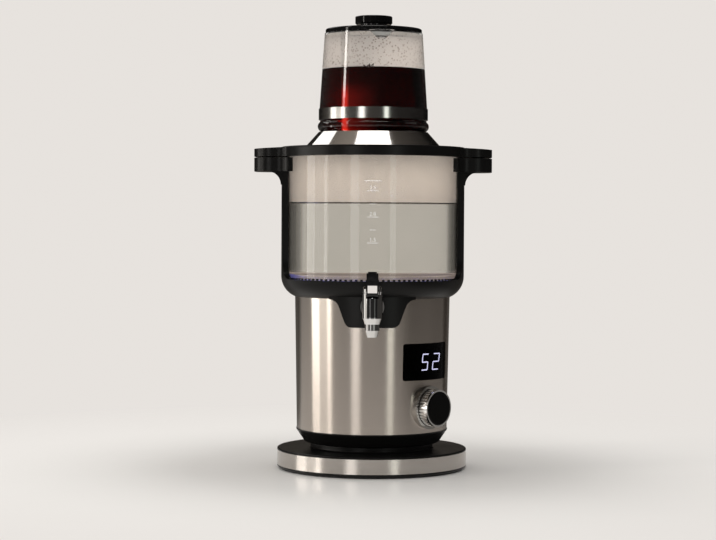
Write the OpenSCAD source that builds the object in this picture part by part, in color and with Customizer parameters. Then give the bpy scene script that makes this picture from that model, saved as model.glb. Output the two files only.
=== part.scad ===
// Electric samovar: a glass water tank with a tap over a steel body, on a round power base,
// with a glass teapot that stands on the tank lid. Millimetres, +Z up.
// The origin is on the turning axis at the table. The tap faces -Y and the two ears lie along X.

/* [Power base] */
// Outer diameter of the power base
base_d = 189; // [170:1:220]
// Height of the rubber foot ring under the tray
foot_h = 1.5; // [1:0.1:3]
// Thickness of the tray floor, seen as the dark lower rim
tray_t = 2.5; // [2:0.1:4]
// Height of the steel band round the base
band_h = 14.5; // [13:0.1:20]
// Sheet thickness of the steel band
band_t = 1; // [0.6:0.1:1.6]
// Edge thickness of the base cover
cover_t = 2; // [1.6:0.1:3.5]
// Diameter of the raised seat that the samovar stands on
seat_d = 122; // [112:1:132]
// Height of that seat over the base cover
seat_h = 6; // [5:0.1:9]
// Diameter of the hub of the power connector
hub_d = 40; // [36:0.5:44]
// Height of the hub over the seat
hub_h = 10; // [8:0.5:12]
// Bore of the cord gland at the back
cord_bore_d = 7; // [5:0.1:8]

/* [Body] */
// Diameter of the skirt where it meets the seat
skirt_foot_d = 138; // [132:1:146]
// Height of the skirt
skirt_h = 13.5; // [12:0.5:18]
// Diameter of the steel shell at its lower edge
shell_foot_d = 150; // [148:0.5:154]
// Diameter of the steel shell at its upper edge
shell_top_d = 155; // [154:0.5:158]
// Height of the steel shell
shell_h = 141; // [135:1:160]
// Sheet thickness of the steel shell
shell_t = 0.9; // [0.6:0.1:1.4]

/* [Collar and frame] */
// Outer diameter of the collar
collar_d = 182.5; // [180:0.5:190]
// Radius of the rounded lower corner of the collar
collar_corner = 22; // [14:1:26]
// Thickness of the ledge that carries the tank
ledge_t = 3.5; // [3:0.1:5]
// Width of each upright arm
arm_w = 40; // [30:1:50]
// Radius of the blend between an arm and the collar
arm_blend = 19; // [10:1:24]
// Distance between the tips of the two ears
ear_span = 236; // [226:1:250]
// Width of an ear
ear_w = 60; // [50:1:66]
// Thickness of the lower half of an ear
ear_t = 13.5; // [11:0.5:16]
// Width of the apron under the collar at its top
apron_top_w = 70; // [62:1:78]
// Width of the apron at its bottom
apron_foot_w = 50; // [46:1:60]
// Height of the apron below the collar
apron_h = 27; // [24:1:35]
// Thickness of the apron
apron_t = 4; // [3:0.25:5]

/* [Tank] */
// Outer diameter of the glass tank
tank_d = 167; // [163:0.5:169]
// Wall of the glass tank
tank_wall = 3.2; // [2.5:0.1:4]
// Height of the glass tank
tank_h = 122.5; // [110:1:140]
// Thickness of the heating plate
plate_t = 1.2; // [1:0.1:2]
// Height of the rim that is pressed up round the heating plate
plate_rim_h = 6.3; // [4:0.1:9]

/* [Top ring] */
// Outer diameter of the top ring
ring_d = 184; // [182:0.5:192]
// Height of the top ring
ring_h = 10; // [9:0.25:14]
// Diameter of the mouth that the lid drops into
mouth_d = 143; // [138:0.5:148]
// Gap of the seam between the two halves of an ear
seam = 1.2; // [0.8:0.1:2]

/* [Lid] */
// Diameter of the flat top of the steel cone
cone_top_d = 109; // [100:0.5:112]
// Diameter of the steel cone level with the top of the ring
cone_foot_d = 136; // [130:0.5:137]
// Height of the cone top over the top ring
cone_rise = 15; // [12:0.5:20]
// Diameter of the steam mouth under the teapot
steam_d = 82; // [70:1:90]
// Sheet thickness of the cone
cone_t = 0.8; // [0.6:0.1:1.2]

/* [Teapot] */
// Diameter of the bulge at the foot of the teapot
pot_bulge_d = 111; // [106:0.5:114]
// Outer diameter of the steel band
pot_band_d = 109; // [106:0.5:112]
// Height of the steel band
pot_band_h = 11; // [8:0.5:14]
// Outer diameter of the glass at the rim
pot_rim_d = 97.6; // [92:0.5:102]
// Height of the glass from its foot to its rim
pot_h = 98; // [88:1:112]
// Wall of the teapot glass
pot_wall = 2.2; // [1.8:0.1:3]
// Room for fingers between the band and the handle grip
finger_gap = 36; // [30:1:44]
// Azimuth of the pouring lip, to the right of the front
lip_azimuth = 9.4; // [0:0.1:20]
// Diameter of the knob of the teapot lid
lid_knob_d = 37; // [30:0.5:42]

/* [Tap] */
// Diameter of the tap barrel
tap_d = 19.4; // [18.6:0.1:21]
// Height of the tap barrel above its lower bevel
tap_barrel_h = 31; // [30.5:0.5:36]
// Distance from the apron to the axis of the barrel
tap_reach = 23; // [20:0.5:28]
// Width of the lever
lever_w = 11.3; // [10.5:0.1:12]
// Height of the lever over the top of the barrel
lever_rise = 13.5; // [11:0.5:18]
// Bore of the outlet nozzle
nozzle_bore_d = 7; // [5:0.1:7.5]

/* [Controls] */
// Azimuth of the knob and the display, to the right of the front
control_azimuth = 47; // [42:0.5:52]
// Diameter of the knob
knob_d = 36; // [32:0.5:38]
// Depth of the knob grip
knob_depth = 12.5; // [11:0.5:16]
// Height of the knob axis above the lower edge of the steel shell
knob_rise = 25; // [23:0.5:30]
// Travel of the knob when it is pressed
knob_travel = 1.5; // [1:0.1:1.8]
// Width of the display window
display_w = 62; // [50:0.5:66]
// Height of the display window
display_h = 36; // [30:0.5:40]
// Height of the middle of the window above the lower edge of the steel shell
display_rise = 70; // [66:0.5:80]

/* [Hidden] */
$fn = 96;
// Clearances: press between fixed pieces, run round a shaft, part between pieces that come apart
press = 0.1;
run = 0.05;
part = 0.4;
// Overshoot of every cut
cut = 1;
// Common wall of the plastic mouldings
wall = 2.2;
// Screws of the casings: shank and head
screw_r = 1.5;
screw_head_r = 3;
screw_head_h = 1.6;

// Heights of the power base, from the table up
z_tray = foot_h;
z_band = z_tray + tray_t;
z_cover = z_band + band_h;
z_cover_top = z_cover + cover_t;
z_seat = z_cover_top + seat_h;
base_r = base_d / 2;
seat_r = seat_d / 2;
hub_r = hub_d / 2;
tray_wall_r = base_r - band_t - press;
base_screw_inset = 24;
base_screw_r = base_r - base_screw_inset;
foot_w = 8;
gland_z = (z_band + z_cover) / 2;
gland_r = cord_bore_d / 2 + 1.4;

// Concentric contacts of the connector
pin_r = 1.2;
pin_tube_r = 2.2;
ring_pin_r = 10;
ring_pin_t = 1;
ring_pin_in = ring_pin_r - ring_pin_t / 2;
ring_pin_out = ring_pin_r + ring_pin_t / 2;
pin_seat = 1;
groove_in = ring_pin_in - 0.6;
groove_out = ring_pin_out + 1.2;
contact_t = 0.6;
z_groove = z_seat - 8;
z_hub = z_seat + hub_h;
z_cup = z_hub + 1.5;
cup_r = hub_r + 1;
cup_wall = 2;
cup_flange_r = cup_r + cup_wall + 7;

// Heights and radii of the body
floor_t = 3;
z_floor = z_seat + floor_t;
z_shell = z_seat + skirt_h;
z_shell_top = z_shell + shell_h;
shell_foot_r = shell_foot_d / 2;
shell_top_r = shell_top_d / 2;
skirt_r = skirt_foot_d / 2;
skirt_lip = 0.5;
skirt_spigot_h = 4;
rod_r = 2.5;
rod_pitch_r = skirt_r - 7;
rod_azimuths = [-60, 120, 240];
thread_h = 6;

// Collar, seals and heating plate
collar_r = collar_d / 2;
z_ledge = z_shell_top + ledge_t;
seal_t = 1.5;
seal_lip = 1.8;
z_plate = z_ledge + seal_t;
z_glass = z_plate + plate_t + seal_lip;
z_glass_top = z_glass + tank_h;
tank_r = tank_d / 2;
tank_in_r = tank_r - tank_wall;
seal_r = tank_r + 0.5;
seal_in_r = tank_in_r - 1.5;
plate_r = tank_r - 0.5;
plate_rim_r = seal_in_r - press;
light_r = seal_r + press;
light_w = 2;
collar_in_r = light_r + light_w + press;
z_lip = z_glass;
ledge_in_r = rod_pitch_r - rod_r - 2.5;
collar_drop = 11.3;
z_corner = z_shell_top - collar_drop + collar_corner;
collar_slip_r = shell_top_r + press;

// Arms and ears
z_ring = z_glass_top - 1.5;
z_ring_top = z_ring + ring_h;
z_ear_top = z_ring - seam;
z_ear = z_ear_top - ear_t;
ear_round = ear_w * 0.3;
ear_blend = 12;
ear_slope = 2.5;
gusset = 13;
ring_r = ring_d / 2;
mouth_r = mouth_d / 2;
ear_screw_x = (collar_r + ear_span / 2) / 2;
ear_boss_r = 5;
z_ring_roof = z_glass_top + seal_t;
mouth_ledge_w = 5;
z_mouth_ledge = z_ring_top - 5;

// Apron and tap
apron_round = 8;
apron_blend = 10;
apron_drop = 10;
z_apron_top = z_shell_top - apron_drop;
z_apron = z_apron_top - apron_h;
z_tap = z_apron_top - 6.5;
pad_r = 12.5;
tap_r = tap_d / 2;
pad_y = shell_top_r + press + apron_t + 1.8;
gasket_t = 1;
flange_t = 2;
flange_r = 11.5;
shank_r = 6.5;
shank_bore_r = 4;
tap_y = shell_top_r + press + apron_t + tap_reach;
tail_inset = 22;
tail_y = shell_top_r - tail_inset;
tail_r = 6;
z_barrel = z_tap - 10;
z_barrel_top = z_barrel + tap_barrel_h;
bevel_h = 5.5;
z_bevel = z_barrel - bevel_h;
neck_h = 6;
neck_r = 7;
nozzle_h = 6.5;
nozzle_r = nozzle_bore_d / 2 + 1.5;
z_neck = z_bevel - neck_h;
z_nozzle = z_neck - nozzle_h;
chamber_r = 6;
z_tap_seat = z_barrel + 3;
z_bonnet = z_tap + 6;
bonnet_t = 3;
z_slot = z_bonnet + bonnet_t;
slot_w = lever_w + 2 * part;
pivot_r = 1.5;
lift_arm = 5;
pivot_y = tap_y + lift_arm;
z_pivot = z_slot + 5;
stem_r = 1.5;
cross_pin_r = 1;
cross_pin_w = 8;
finger_drop = cross_pin_r + 0.3;
plug_h = 6;
plug_r = chamber_r - part;
spring_r = 3.4;
spring_wire = 0.35;
spring_turns = 4;
inlay_w = lever_w;
inlay_deep = 1.5;
lever_front = tap_y + tap_r;
lever_deep = 6.2;
lever_hub_r = 4.6;
finger_t = 2.2;
finger_reach = 7.5;
plate_w = 9;
lever_plate_h = 7;
lever_plate_t = 0.6;
z_lever_top = z_barrel_top + lever_rise;
nut_r = 11;
nut_t = 5;
shell_at_tap = shell_foot_r + (shell_top_r - shell_foot_r) * (z_tap - z_shell) / shell_h;
u_nut = sqrt(pow(shell_at_tap - shell_t, 2) - nut_r * nut_r) - 0.3;

// Outlet hose between the heating plate and the tap
hose_in_r = tail_r + press;
hose_r = hose_in_r + 2.2;
hose_bend = 12;
spigot_y = tail_y - hose_bend;
hose_grip = 8;
clip_w = 5;

// Heater under the plate
spreader_t = 3;
spreader_r = ledge_in_r - 2;
element_inset = 12;
element_r = spreader_r - element_inset;
element_w = 8;
element_h = 7;
z_spreader = z_plate - spreader_t;
z_element = z_spreader - element_h;
cutout_r = 9;
cutout_h = 9;
probe_r = 2;
probe_flange_r = 4;
probe_x = 22;

// Control stations, measured from the axis of the samovar along the control azimuth
knob_z = z_shell + knob_rise;
display_z = z_shell + display_rise;
knob_r = knob_d / 2;
shaft_r = 3;
rotor_r = 6;
board_t = 1.6;
bush_r = 5;
shell_at_knob = shell_foot_r + (shell_top_r - shell_foot_r) * knob_rise / shell_h;
bezel_r = knob_r + 3;
bezel_proud = 3.2;
u_bezel = shell_at_knob + bezel_proud;
u_knob = shell_at_knob + knob_travel + 0.8;
u_knob_face = u_knob + knob_depth;
cap_r = knob_r - 1.6;
cap_t = 4;
u_board = shell_at_knob - 15.5;
housing_w = 18;
housing_deep = 12;
u_housing = u_board + housing_deep;
u_rotor = u_board + 3;
rotor_deep = 7;
u_shaft = u_board + knob_travel + 0.7;
window_t = 2.2;
window_proud = 0.3;
window_flange = 2;
window_round = 2.5;
board_w = 58;
module_margin = 7;
module_w = display_w - 2 * module_margin;
module_h = display_h - 2 * module_margin;
module_deep = 8;
board_z0 = knob_z - housing_w / 2 - 4;
board_z1 = display_z + module_h / 2 + 4;

// Power board on the floor of the skirt
power_w = 58;
power_deep = 28;
power_y = cup_flange_r + 4 + power_deep / 2;
post_h = 6;
post_r = 3;
z_power = z_floor + post_h;
relay_h = 15;
lead_r = 1.6;
lead_x = 9;

// Lid
cone_foot_r = cone_foot_d / 2;
cone_top_r = cone_top_d / 2;
steam_r = steam_d / 2;
z_cone = z_ring_top + cone_rise;
lid_r = mouth_r - part;
lid_flange_t = 2;
insert_r = steam_r + 4;
z_insert = z_mouth_ledge + lid_flange_t;
cone_slope = (cone_foot_r - cone_top_r) / cone_rise;
lid_gasket_h = 3;

// Teapot heights and radii, from the cone up
z_pot = z_cone;
pot_bulge_r = pot_bulge_d / 2;
pot_bulge_h = 5.5;
pot_groove_h = 12;
band_sheet = 0.7;
pot_band_r = pot_band_d / 2;
pot_r = pot_band_r - band_sheet - press;
z_pot_band = z_pot + pot_groove_h;
z_pot_band_top = z_pot_band + pot_band_h;
pot_rim_r = pot_rim_d / 2;
z_pot_rim = z_pot + pot_h;
lip_w = 28;
lip_reach = 7;
lip_drop = 16;
handle_deep = 11;
handle_w = 16;
handle_u = pot_band_r + finger_gap;
z_handle_top = z_pot_rim - 10;
z_handle = z_pot_band;
handle_round = 12;
tongue_t = 3;
tongue_reach = 14;
pot_lean = (pot_r - pot_rim_r) / (z_pot_rim - z_pot_band_top);
u_handle_top = pot_r - pot_lean * (z_handle_top - handle_deep - z_pot_band_top) + part;

// Teapot lid
lid_rim_r = pot_rim_r - 0.8;
lid_rim_h = 4.5;
lid_plug_r = pot_rim_r - pot_wall - 2.5;
lid_plug_h = 6;
lid_seal_w = 2;
dome_h = 3.5;
z_lid = z_pot_rim;
z_dome = z_lid + lid_rim_h + dome_h;
lid_neck_r = 13;
lid_neck_h = 1;
lid_knob_r = lid_knob_d / 2;
lid_knob_h = 8.2;
z_lid_knob = z_dome + lid_neck_h;

BLACK = [0.06, 0.06, 0.065];
STEEL = [0.72, 0.71, 0.69];
CHROME = [0.82, 0.83, 0.85];
GLASS = [0.8, 0.88, 0.9, 0.35];
SILICONE = [0.9, 0.9, 0.88];
RUBBER = [0.12, 0.12, 0.12];
BRASS = [0.8, 0.62, 0.3];
BOARD = [0.1, 0.35, 0.2];

// Shared shapes

// A ring between two radii and two heights
module tube(r_out, r_in, z0, z1) {
    translate([0, 0, z0])
        difference() {
            cylinder(r = r_out, h = z1 - z0);
            translate([0, 0, -cut]) cylinder(r = r_in, h = z1 - z0 + 2 * cut);
        }
}

// A rod or hole between two heights
module rod(r, z0, z1) {
    translate([0, 0, z0]) cylinder(r = r, h = z1 - z0);
}

// Turns the front of the samovar to an azimuth, to the right of the tap
module at_azimuth(angle) {
    rotate([0, 0, angle]) children();
}

// Lays a shape along a radius: its height becomes the distance from the axis
module radial(angle, z) {
    at_azimuth(angle) translate([0, 0, z]) rotate([90, 0, 0]) children();
}

// A rectangle with round corners, about its middle
module rounded_rect(w, h, r) {
    square([w - 2 * r, h], center = true);
    square([w, h - 2 * r], center = true);
    for (sx = [-1, 1], sy = [-1, 1])
        translate([sx * (w / 2 - r), sy * (h / 2 - r)]) circle(r = r);
}

// Points of an arc, for an outline
function arc(x, y, r, a0, a1, n = 8) =
    [for (i = [0:n]) let (a = a0 + (a1 - a0) * i / n) [x + r * cos(a), y + r * sin(a)]];

function unit(v) = v / norm(v);

// Points that round one corner of an outline
function round_corner(before, p, after, r, n = 8) =
    let (a = unit(before - p), b = unit(after - p))
    let (half = acos(a * b) / 2, c = p + unit(a + b) * r / sin(half))
    let (s = p + a * r / tan(half) - c, e = p + b * r / tan(half) - c)
    let (a0 = atan2(s[1], s[0]), turn = atan2(e[1], e[0]) - a0)
    arc(c[0], c[1], r, a0, a0 + turn - 360 * round(turn / 360), n);

// Power base

module base_foot_ring() {
    color(RUBBER) tube(base_r - 3, base_r - 3 - foot_w, 0, z_tray);
}

// Where the four base screws stand
module at_base_screws() {
    for (a = [45:90:315]) rotate([0, 0, a]) translate([base_screw_r, 0, 0]) children();
}

module base_tray() {
    color(BLACK)
        difference() {
            union() {
                rotate_extrude()
                    polygon([
                        [0, z_tray], [base_r - 1, z_tray], [base_r, z_tray + 1], [base_r, z_band], [0, z_band]
                    ]);
                tube(tray_wall_r, tray_wall_r - wall, z_band - tray_t / 2, z_cover);
            }
            at_base_screws() {
                rod(screw_r + press, z_tray - cut, z_band + cut);
                rod(screw_head_r + press, z_tray - cut, z_tray + screw_head_h);
            }
            gland_hole();
        }
}

// Hole through the back of the base for the gland
module gland_hole() {
    radial(180, gland_z) rod(gland_r + press, tray_wall_r - wall - 4, base_r + cut);
}

module base_band() {
    color(STEEL)
        difference() {
            tube(base_r, base_r - band_t, z_band, z_cover);
            gland_hole();
        }
}

module base_cover() {
    top_round = 1.2;
    color(BLACK)
        difference() {
            union() {
                rotate_extrude()
                    polygon(concat(
                        [[seat_r - wall, z_cover], [base_r, z_cover]],
                        arc(base_r - top_round, z_cover_top - top_round, top_round, 0, 90),
                        arc(seat_r + 2, z_cover_top + 2, 2, 270, 180),
                        arc(seat_r - top_round, z_seat - top_round, top_round, 0, 90),
                        [
                            [hub_r + press, z_seat], [hub_r + press, z_seat - wall],
                            [seat_r - wall, z_seat - wall]
                        ]
                    ));
                at_base_screws() rod(screw_head_r + 1, z_band, z_cover + cover_t / 2);
            }
            at_base_screws() rod(screw_r, z_band - cut, z_cover);
        }
}

module base_screws() {
    color(STEEL)
        at_base_screws() {
            rod(screw_head_r, z_tray, z_tray + screw_head_h);
            rod(screw_r - press, z_tray, z_cover - cut);
        }
}

// Fixed half of the connector: a round hub with a middle hole and one ring groove
module base_connector() {
    flange_r = seat_r - wall - 8;
    color(BLACK)
        difference() {
            union() {
                rod(hub_r, z_band, z_hub);
                rod(flange_r, z_seat - wall - 3, z_seat - wall);
            }
            rod(pin_tube_r, z_groove, z_hub + cut);
            tube(groove_out, groove_in, z_groove, z_hub + cut);
        }
}

module socket_contacts() {
    color(BRASS) {
        tube(pin_tube_r - press, pin_r + 0.3, z_groove, z_hub - 4);
        tube(groove_out - press, groove_out - press - contact_t, z_groove, z_hub - 4);
    }
}

module cord_gland() {
    flange_t = 2;
    color(RUBBER)
        radial(180, gland_z)
            difference() {
                union() {
                    rod(gland_r, tray_wall_r - wall - 3, base_r + flange_t);
                    rod(gland_r + 1.6, base_r, base_r + flange_t);
                }
                rod(cord_bore_d / 2, tray_wall_r - wall - 3 - cut, base_r + flange_t + cut);
            }
}

// Moving half of the connector: a cup over the hub
module body_connector() {
    color(BLACK)
        difference() {
            union() {
                rod(cup_r + cup_wall, z_seat + 0.5, z_cup + cup_wall);
                rod(cup_flange_r, z_floor, z_floor + 2);
            }
            rod(cup_r, z_seat, z_cup);
            rod(pin_r + press, z_cup - cut, z_cup + cup_wall + cut);
            tube(ring_pin_out + press, ring_pin_in - press, z_cup - cut, z_cup + pin_seat);
        }
}

module connector_pins() {
    color(BRASS) {
        rod(pin_r, z_groove + 3, z_cup + cup_wall + 4);
        tube(ring_pin_out, ring_pin_in, z_groove + 3, z_cup + pin_seat);
    }
}

// Lower body

// Where the tie rods stand between the skirt and the collar
module at_rods() {
    for (a = rod_azimuths) at_azimuth(a) translate([0, -rod_pitch_r, 0]) children();
}

// Where the posts of the power board stand
module at_posts() {
    for (sx = [-1, 1], sy = [-1, 1])
        translate([sx * (power_w / 2 - 4), power_y + sy * (power_deep / 2 - 4), 0]) children();
}

module bottom_skirt() {
    foot_round = 4;
    spigot_r = shell_foot_r - shell_t - press;
    lip_r = shell_foot_r + skirt_lip;
    color(BLACK)
        difference() {
            union() {
                rotate_extrude()
                    polygon(concat(
                        [[cup_r + cup_wall + part, z_floor], [cup_r + cup_wall + part, z_seat]],
                        arc(skirt_r - foot_round, z_seat + foot_round, foot_round, -90, -25),
                        [
                            [lip_r, z_shell - 1], [lip_r, z_shell],
                            [spigot_r, z_shell], [spigot_r, z_shell + skirt_spigot_h],
                            [spigot_r - wall, z_shell + skirt_spigot_h], [spigot_r - wall, z_shell - 1],
                            [skirt_r - wall - 1, z_floor]
                        ]
                    ));
                at_posts() rod(post_r, z_floor - cut, z_power);
            }
            at_rods() {
                rod(screw_r + press, z_seat - cut, z_floor + cut);
                rod(screw_head_r + press, z_seat - cut, z_seat + screw_head_h);
            }
        }
}

module bottom_screws() {
    color(STEEL)
        at_rods() {
            rod(screw_head_r, z_seat + 0.1, z_seat + screw_head_h);
            rod(screw_r - press, z_seat + 0.1, z_floor + thread_h);
        }
}

module tie_rods() {
    color(STEEL)
        at_rods()
            difference() {
                union() {
                    rod(rod_r, z_floor, z_shell_top);
                    rod(screw_r - press, z_shell_top - cut, z_ledge - 0.5);
                }
                rod(screw_r, z_floor - cut, z_floor + thread_h + cut);
            }
}

// The steel shell as a filled shape, grown by an amount all round
module shell_solid(grow, z0 = z_shell, z1 = z_shell_top) {
    slope = (shell_top_r - shell_foot_r) / shell_h;
    translate([0, 0, z0])
        cylinder(
            r1 = shell_foot_r + grow + slope * (z0 - z_shell),
            r2 = shell_foot_r + grow + slope * (z1 - z_shell),
            h = z1 - z0
        );
}

// Prism of the display window, looking out along the control azimuth
module window_prism(grow) {
    radial(control_azimuth, display_z)
        linear_extrude(height = collar_r)
            rounded_rect(display_w + 2 * grow, display_h + 2 * grow, window_round);
}

module body_shell() {
    color(STEEL)
        difference() {
            shell_solid(0);
            shell_solid(-shell_t, z_shell - cut, z_shell_top + cut);
            window_prism(0);
            radial(control_azimuth, knob_z) rod(bush_r + press, 0, collar_r);
            radial(0, z_tap) rod(shank_r + press, 0, collar_r);
        }
}

// Collar, frame and tank

// Outline of an ear seen from above, with blends into the round of radius r
module ear_plan(r) {
    tip = ear_span / 2;
    half = ear_w / 2;
    blend_x = sqrt(pow(r + ear_blend, 2) - pow(half + ear_blend, 2));
    meet = r / (r + ear_blend);
    translate([0, -half]) square([tip - ear_round, ear_w]);
    translate([0, -half + ear_round]) square([tip, ear_w - 2 * ear_round]);
    for (s = [-1, 1]) {
        translate([tip - ear_round, s * (half - ear_round)]) circle(r = ear_round);
        difference() {
            polygon([
                [0, 0], [blend_x, s * (half - cut)], [blend_x, s * half],
                [meet * blend_x, s * meet * (half + ear_blend)]
            ]);
            translate([blend_x, s * (half + ear_blend)]) circle(r = ear_blend);
        }
    }
}

// Both sides of the samovar
module both_sides() {
    children();
    mirror([1, 0, 0]) children();
}

// Half section of the collar and arms: upright, with a round lower corner
module frame_section() {
    z_low = z_corner - collar_corner;
    translate([collar_r - collar_corner, z_corner]) circle(r = collar_corner);
    translate([0, z_low]) square([collar_r - collar_corner, z_ear_top - z_low]);
    translate([0, z_corner]) square([collar_r, z_ear_top - z_corner]);
}

// Side view of an arm with its blends into the collar
module arm_outline() {
    z_root = z_lip - 2;
    translate([-arm_w / 2, z_root]) square([arm_w, z_ear_top - z_root]);
    difference() {
        translate([-arm_w / 2 - arm_blend, z_root]) square([arm_w + 2 * arm_blend, arm_blend + 2]);
        for (s = [-1, 1])
            translate([s * (arm_w / 2 + arm_blend), z_lip + arm_blend]) circle(r = arm_blend);
    }
}

// Front view of the apron
module apron_outline() {
    top = apron_top_w / 2;
    foot = apron_foot_w / 2;
    side = top + 2 * apron_blend;
    right = concat(
        round_corner([0, z_apron], [foot, z_apron], [top, z_apron_top], apron_round),
        round_corner([foot, z_apron], [top, z_apron_top], [side, z_apron_top], apron_blend)
    );
    left = [for (i = [len(right) - 1:-1:0]) [-right[i][0], right[i][1]]];
    high = z_shell_top - 1;
    polygon(concat(right, [[right[len(right) - 1][0], high], [left[0][0], high]], left));
}

module collar_frame() {
    skin = collar_slip_r + apron_t;
    z_low = z_corner - collar_corner;
    color(BLACK)
        difference() {
            union() {
                intersection() {
                    rotate_extrude() frame_section();
                    union() {
                        rod(collar_r + cut, z_low, z_lip);
                        rotate([90, 0, 90])
                            linear_extrude(height = 2 * collar_r + 2, center = true) arm_outline();
                    }
                }
                both_sides() {
                    translate([0, 0, z_ear]) linear_extrude(height = ear_t) ear_plan(collar_r);
                    rotate([90, 0, 0])
                        linear_extrude(height = arm_w, center = true)
                            difference() {
                                translate([collar_r - 4, z_ear - gusset]) square([gusset + 4, gusset + cut]);
                                translate([collar_r + gusset, z_ear - gusset]) circle(r = gusset);
                            }
                }
                intersection() {
                    rod(skin, z_apron - cut, z_shell_top);
                    rotate([90, 0, 0]) linear_extrude(height = collar_r) apron_outline();
                }
                radial(0, z_tap) rod(pad_r, shell_top_r - 4, pad_y);
            }
            rod(collar_slip_r, z_apron - 2 * cut, z_shell_top);
            rod(ledge_in_r, z_shell_top - cut, z_ledge + cut);
            rod(collar_in_r, z_ledge, z_ear_top + cut);
            at_rods() rod(screw_r, z_shell_top - cut, z_ledge - 0.4);
            radial(0, z_tap) {
                rod(shank_r + press, 0, collar_r);
                rod(pad_r, pad_y, collar_r + cut);
            }
            both_sides()
                translate([ear_screw_x, 0, 0]) {
                    rod(screw_r + press, z_ear - cut, z_ear_top + cut);
                    rod(screw_head_r + press, z_ear - cut, z_ear + ear_t / 2);
                }
        }
}

module top_ring() {
    edge = 1.5;
    tip = ear_span / 2 + cut;
    color(BLACK)
        difference() {
            union() {
                rotate_extrude()
                    polygon(concat(
                        [
                            [mouth_r - mouth_ledge_w, z_ring_roof], [seal_r + press, z_ring_roof],
                            [seal_r + press, z_ring], [ring_r, z_ring]
                        ],
                        arc(ring_r - edge, z_ring_top - edge, edge, 0, 90),
                        [
                            [mouth_r, z_ring_top], [mouth_r, z_mouth_ledge],
                            [mouth_r - mouth_ledge_w, z_mouth_ledge]
                        ]
                    ));
                difference() {
                    intersection() {
                        both_sides()
                            translate([0, 0, z_ring]) linear_extrude(height = ring_h) ear_plan(ring_r - part);
                        rotate([90, 0, 0])
                            linear_extrude(height = 2 * ear_w, center = true)
                                polygon([
                                    [-tip, z_ring], [tip, z_ring], [tip, z_ring_top - ear_slope],
                                    [mouth_r, z_ring_top], [-mouth_r, z_ring_top],
                                    [-tip, z_ring_top - ear_slope]
                                ]);
                    }
                    rod(ring_r - wall, z_ring - cut, z_ring_top + cut);
                }
                both_sides() translate([ear_screw_x, 0, 0]) rod(ear_boss_r, z_ear_top, z_ring + cut);
            }
            both_sides() translate([ear_screw_x, 0, 0]) rod(screw_r, z_ear_top - cut, z_ring + 5);
        }
}

module ear_screws() {
    z_head = z_ear + ear_t / 2;
    color(STEEL)
        both_sides()
            translate([ear_screw_x, 0, 0]) {
                rod(screw_head_r, z_head - screw_head_h, z_head);
                rod(screw_r - press, z_head - screw_head_h, z_ring + 4);
            }
}

module glass_tank() {
    color(GLASS) tube(tank_r, tank_in_r, z_glass, z_glass_top);
}

// Lower seal: grips the rim of the heating plate and carries the glass
module tank_seal_lower() {
    color(SILICONE)
        rotate_extrude()
            polygon([
                [seal_in_r, z_ledge], [seal_r, z_ledge], [seal_r, z_glass], [seal_in_r, z_glass],
                [seal_in_r, z_plate + plate_t], [plate_r + press, z_plate + plate_t],
                [plate_r + press, z_plate], [seal_in_r, z_plate]
            ]);
}

module tank_seal_upper() {
    color(SILICONE) tube(seal_r, tank_in_r, z_glass_top, z_ring_roof);
}

// Clear ring that spreads the blue light round the foot of the glass
module light_ring() {
    color("lightblue") tube(light_r + light_w, light_r, z_ledge, z_lip - 0.5);
}

// Heater

// Plate with a pressed-up rim, a drain spigot and the hole of the probe
module heating_plate() {
    color(STEEL)
        difference() {
            union() {
                rod(plate_r, z_plate, z_plate + plate_t);
                tube(plate_rim_r, plate_rim_r - plate_t, z_plate + plate_t / 2, z_plate + plate_t + plate_rim_h);
                translate([0, -spigot_y, 0]) rod(tail_r, z_tap + hose_bend + 0.5, z_plate + plate_t / 2);
            }
            translate([0, -spigot_y, 0]) rod(shank_bore_r, z_tap, z_plate + plate_t + cut);
            translate([-probe_x, 0, 0]) rod(probe_r + press, z_plate - cut, z_plate + plate_t + cut);
        }
}

module heat_spreader() {
    color("lightgray")
        difference() {
            rod(spreader_r, z_spreader, z_plate);
            translate([0, -spigot_y, 0]) rod(tail_r + press, z_spreader - cut, z_plate + cut);
            translate([-probe_x, 0, 0]) rod(probe_r + press, z_spreader - cut, z_plate + cut);
        }
}

// Ring heater with its gap at the front, round the outlet
module heating_element() {
    open_angle = 70;
    color("dimgray")
        rotate([0, 0, open_angle / 2 - 90])
            rotate_extrude(angle = 360 - open_angle)
                translate([element_r, z_element + element_h / 2])
                    rounded_rect(element_w, element_h, 2);
}

module heater_leads() {
    y = sqrt(element_r * element_r - lead_x * lead_x);
    color("firebrick")
        both_sides() translate([lead_x, y, 0]) rod(lead_r, z_power + board_t, z_element);
}

module thermal_cutout() {
    color("beige") {
        rod(cutout_r, z_spreader - cutout_h, z_spreader);
        both_sides()
            translate([3, -2.5, z_spreader - cutout_h - 6]) cube([0.8, 5, 6 + cut]);
    }
}

module temperature_probe() {
    color(STEEL)
        translate([-probe_x, 0, 0]) {
            rod(probe_r, z_spreader - 8, z_plate + plate_t + plate_rim_h / 2);
            rod(probe_flange_r, z_spreader - 2, z_spreader);
        }
}

// Hose: down from the heating plate, round a bend and out to the tap
module outlet_hose() {
    z_bend = z_tap + hose_bend;
    z_top = z_spreader - 0.5;
    color(SILICONE) {
        translate([0, -spigot_y, 0]) tube(hose_r, hose_in_r, z_bend, z_top);
        translate([0, -tail_y, z_bend])
            rotate([-90, 0, 90])
                rotate_extrude(angle = 90)
                    translate([hose_bend, 0])
                        difference() {
                            circle(r = hose_r);
                            circle(r = hose_in_r);
                        }
        radial(0, z_tap) tube(hose_r, hose_in_r, tail_y, tail_y + hose_grip);
    }
}

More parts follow.
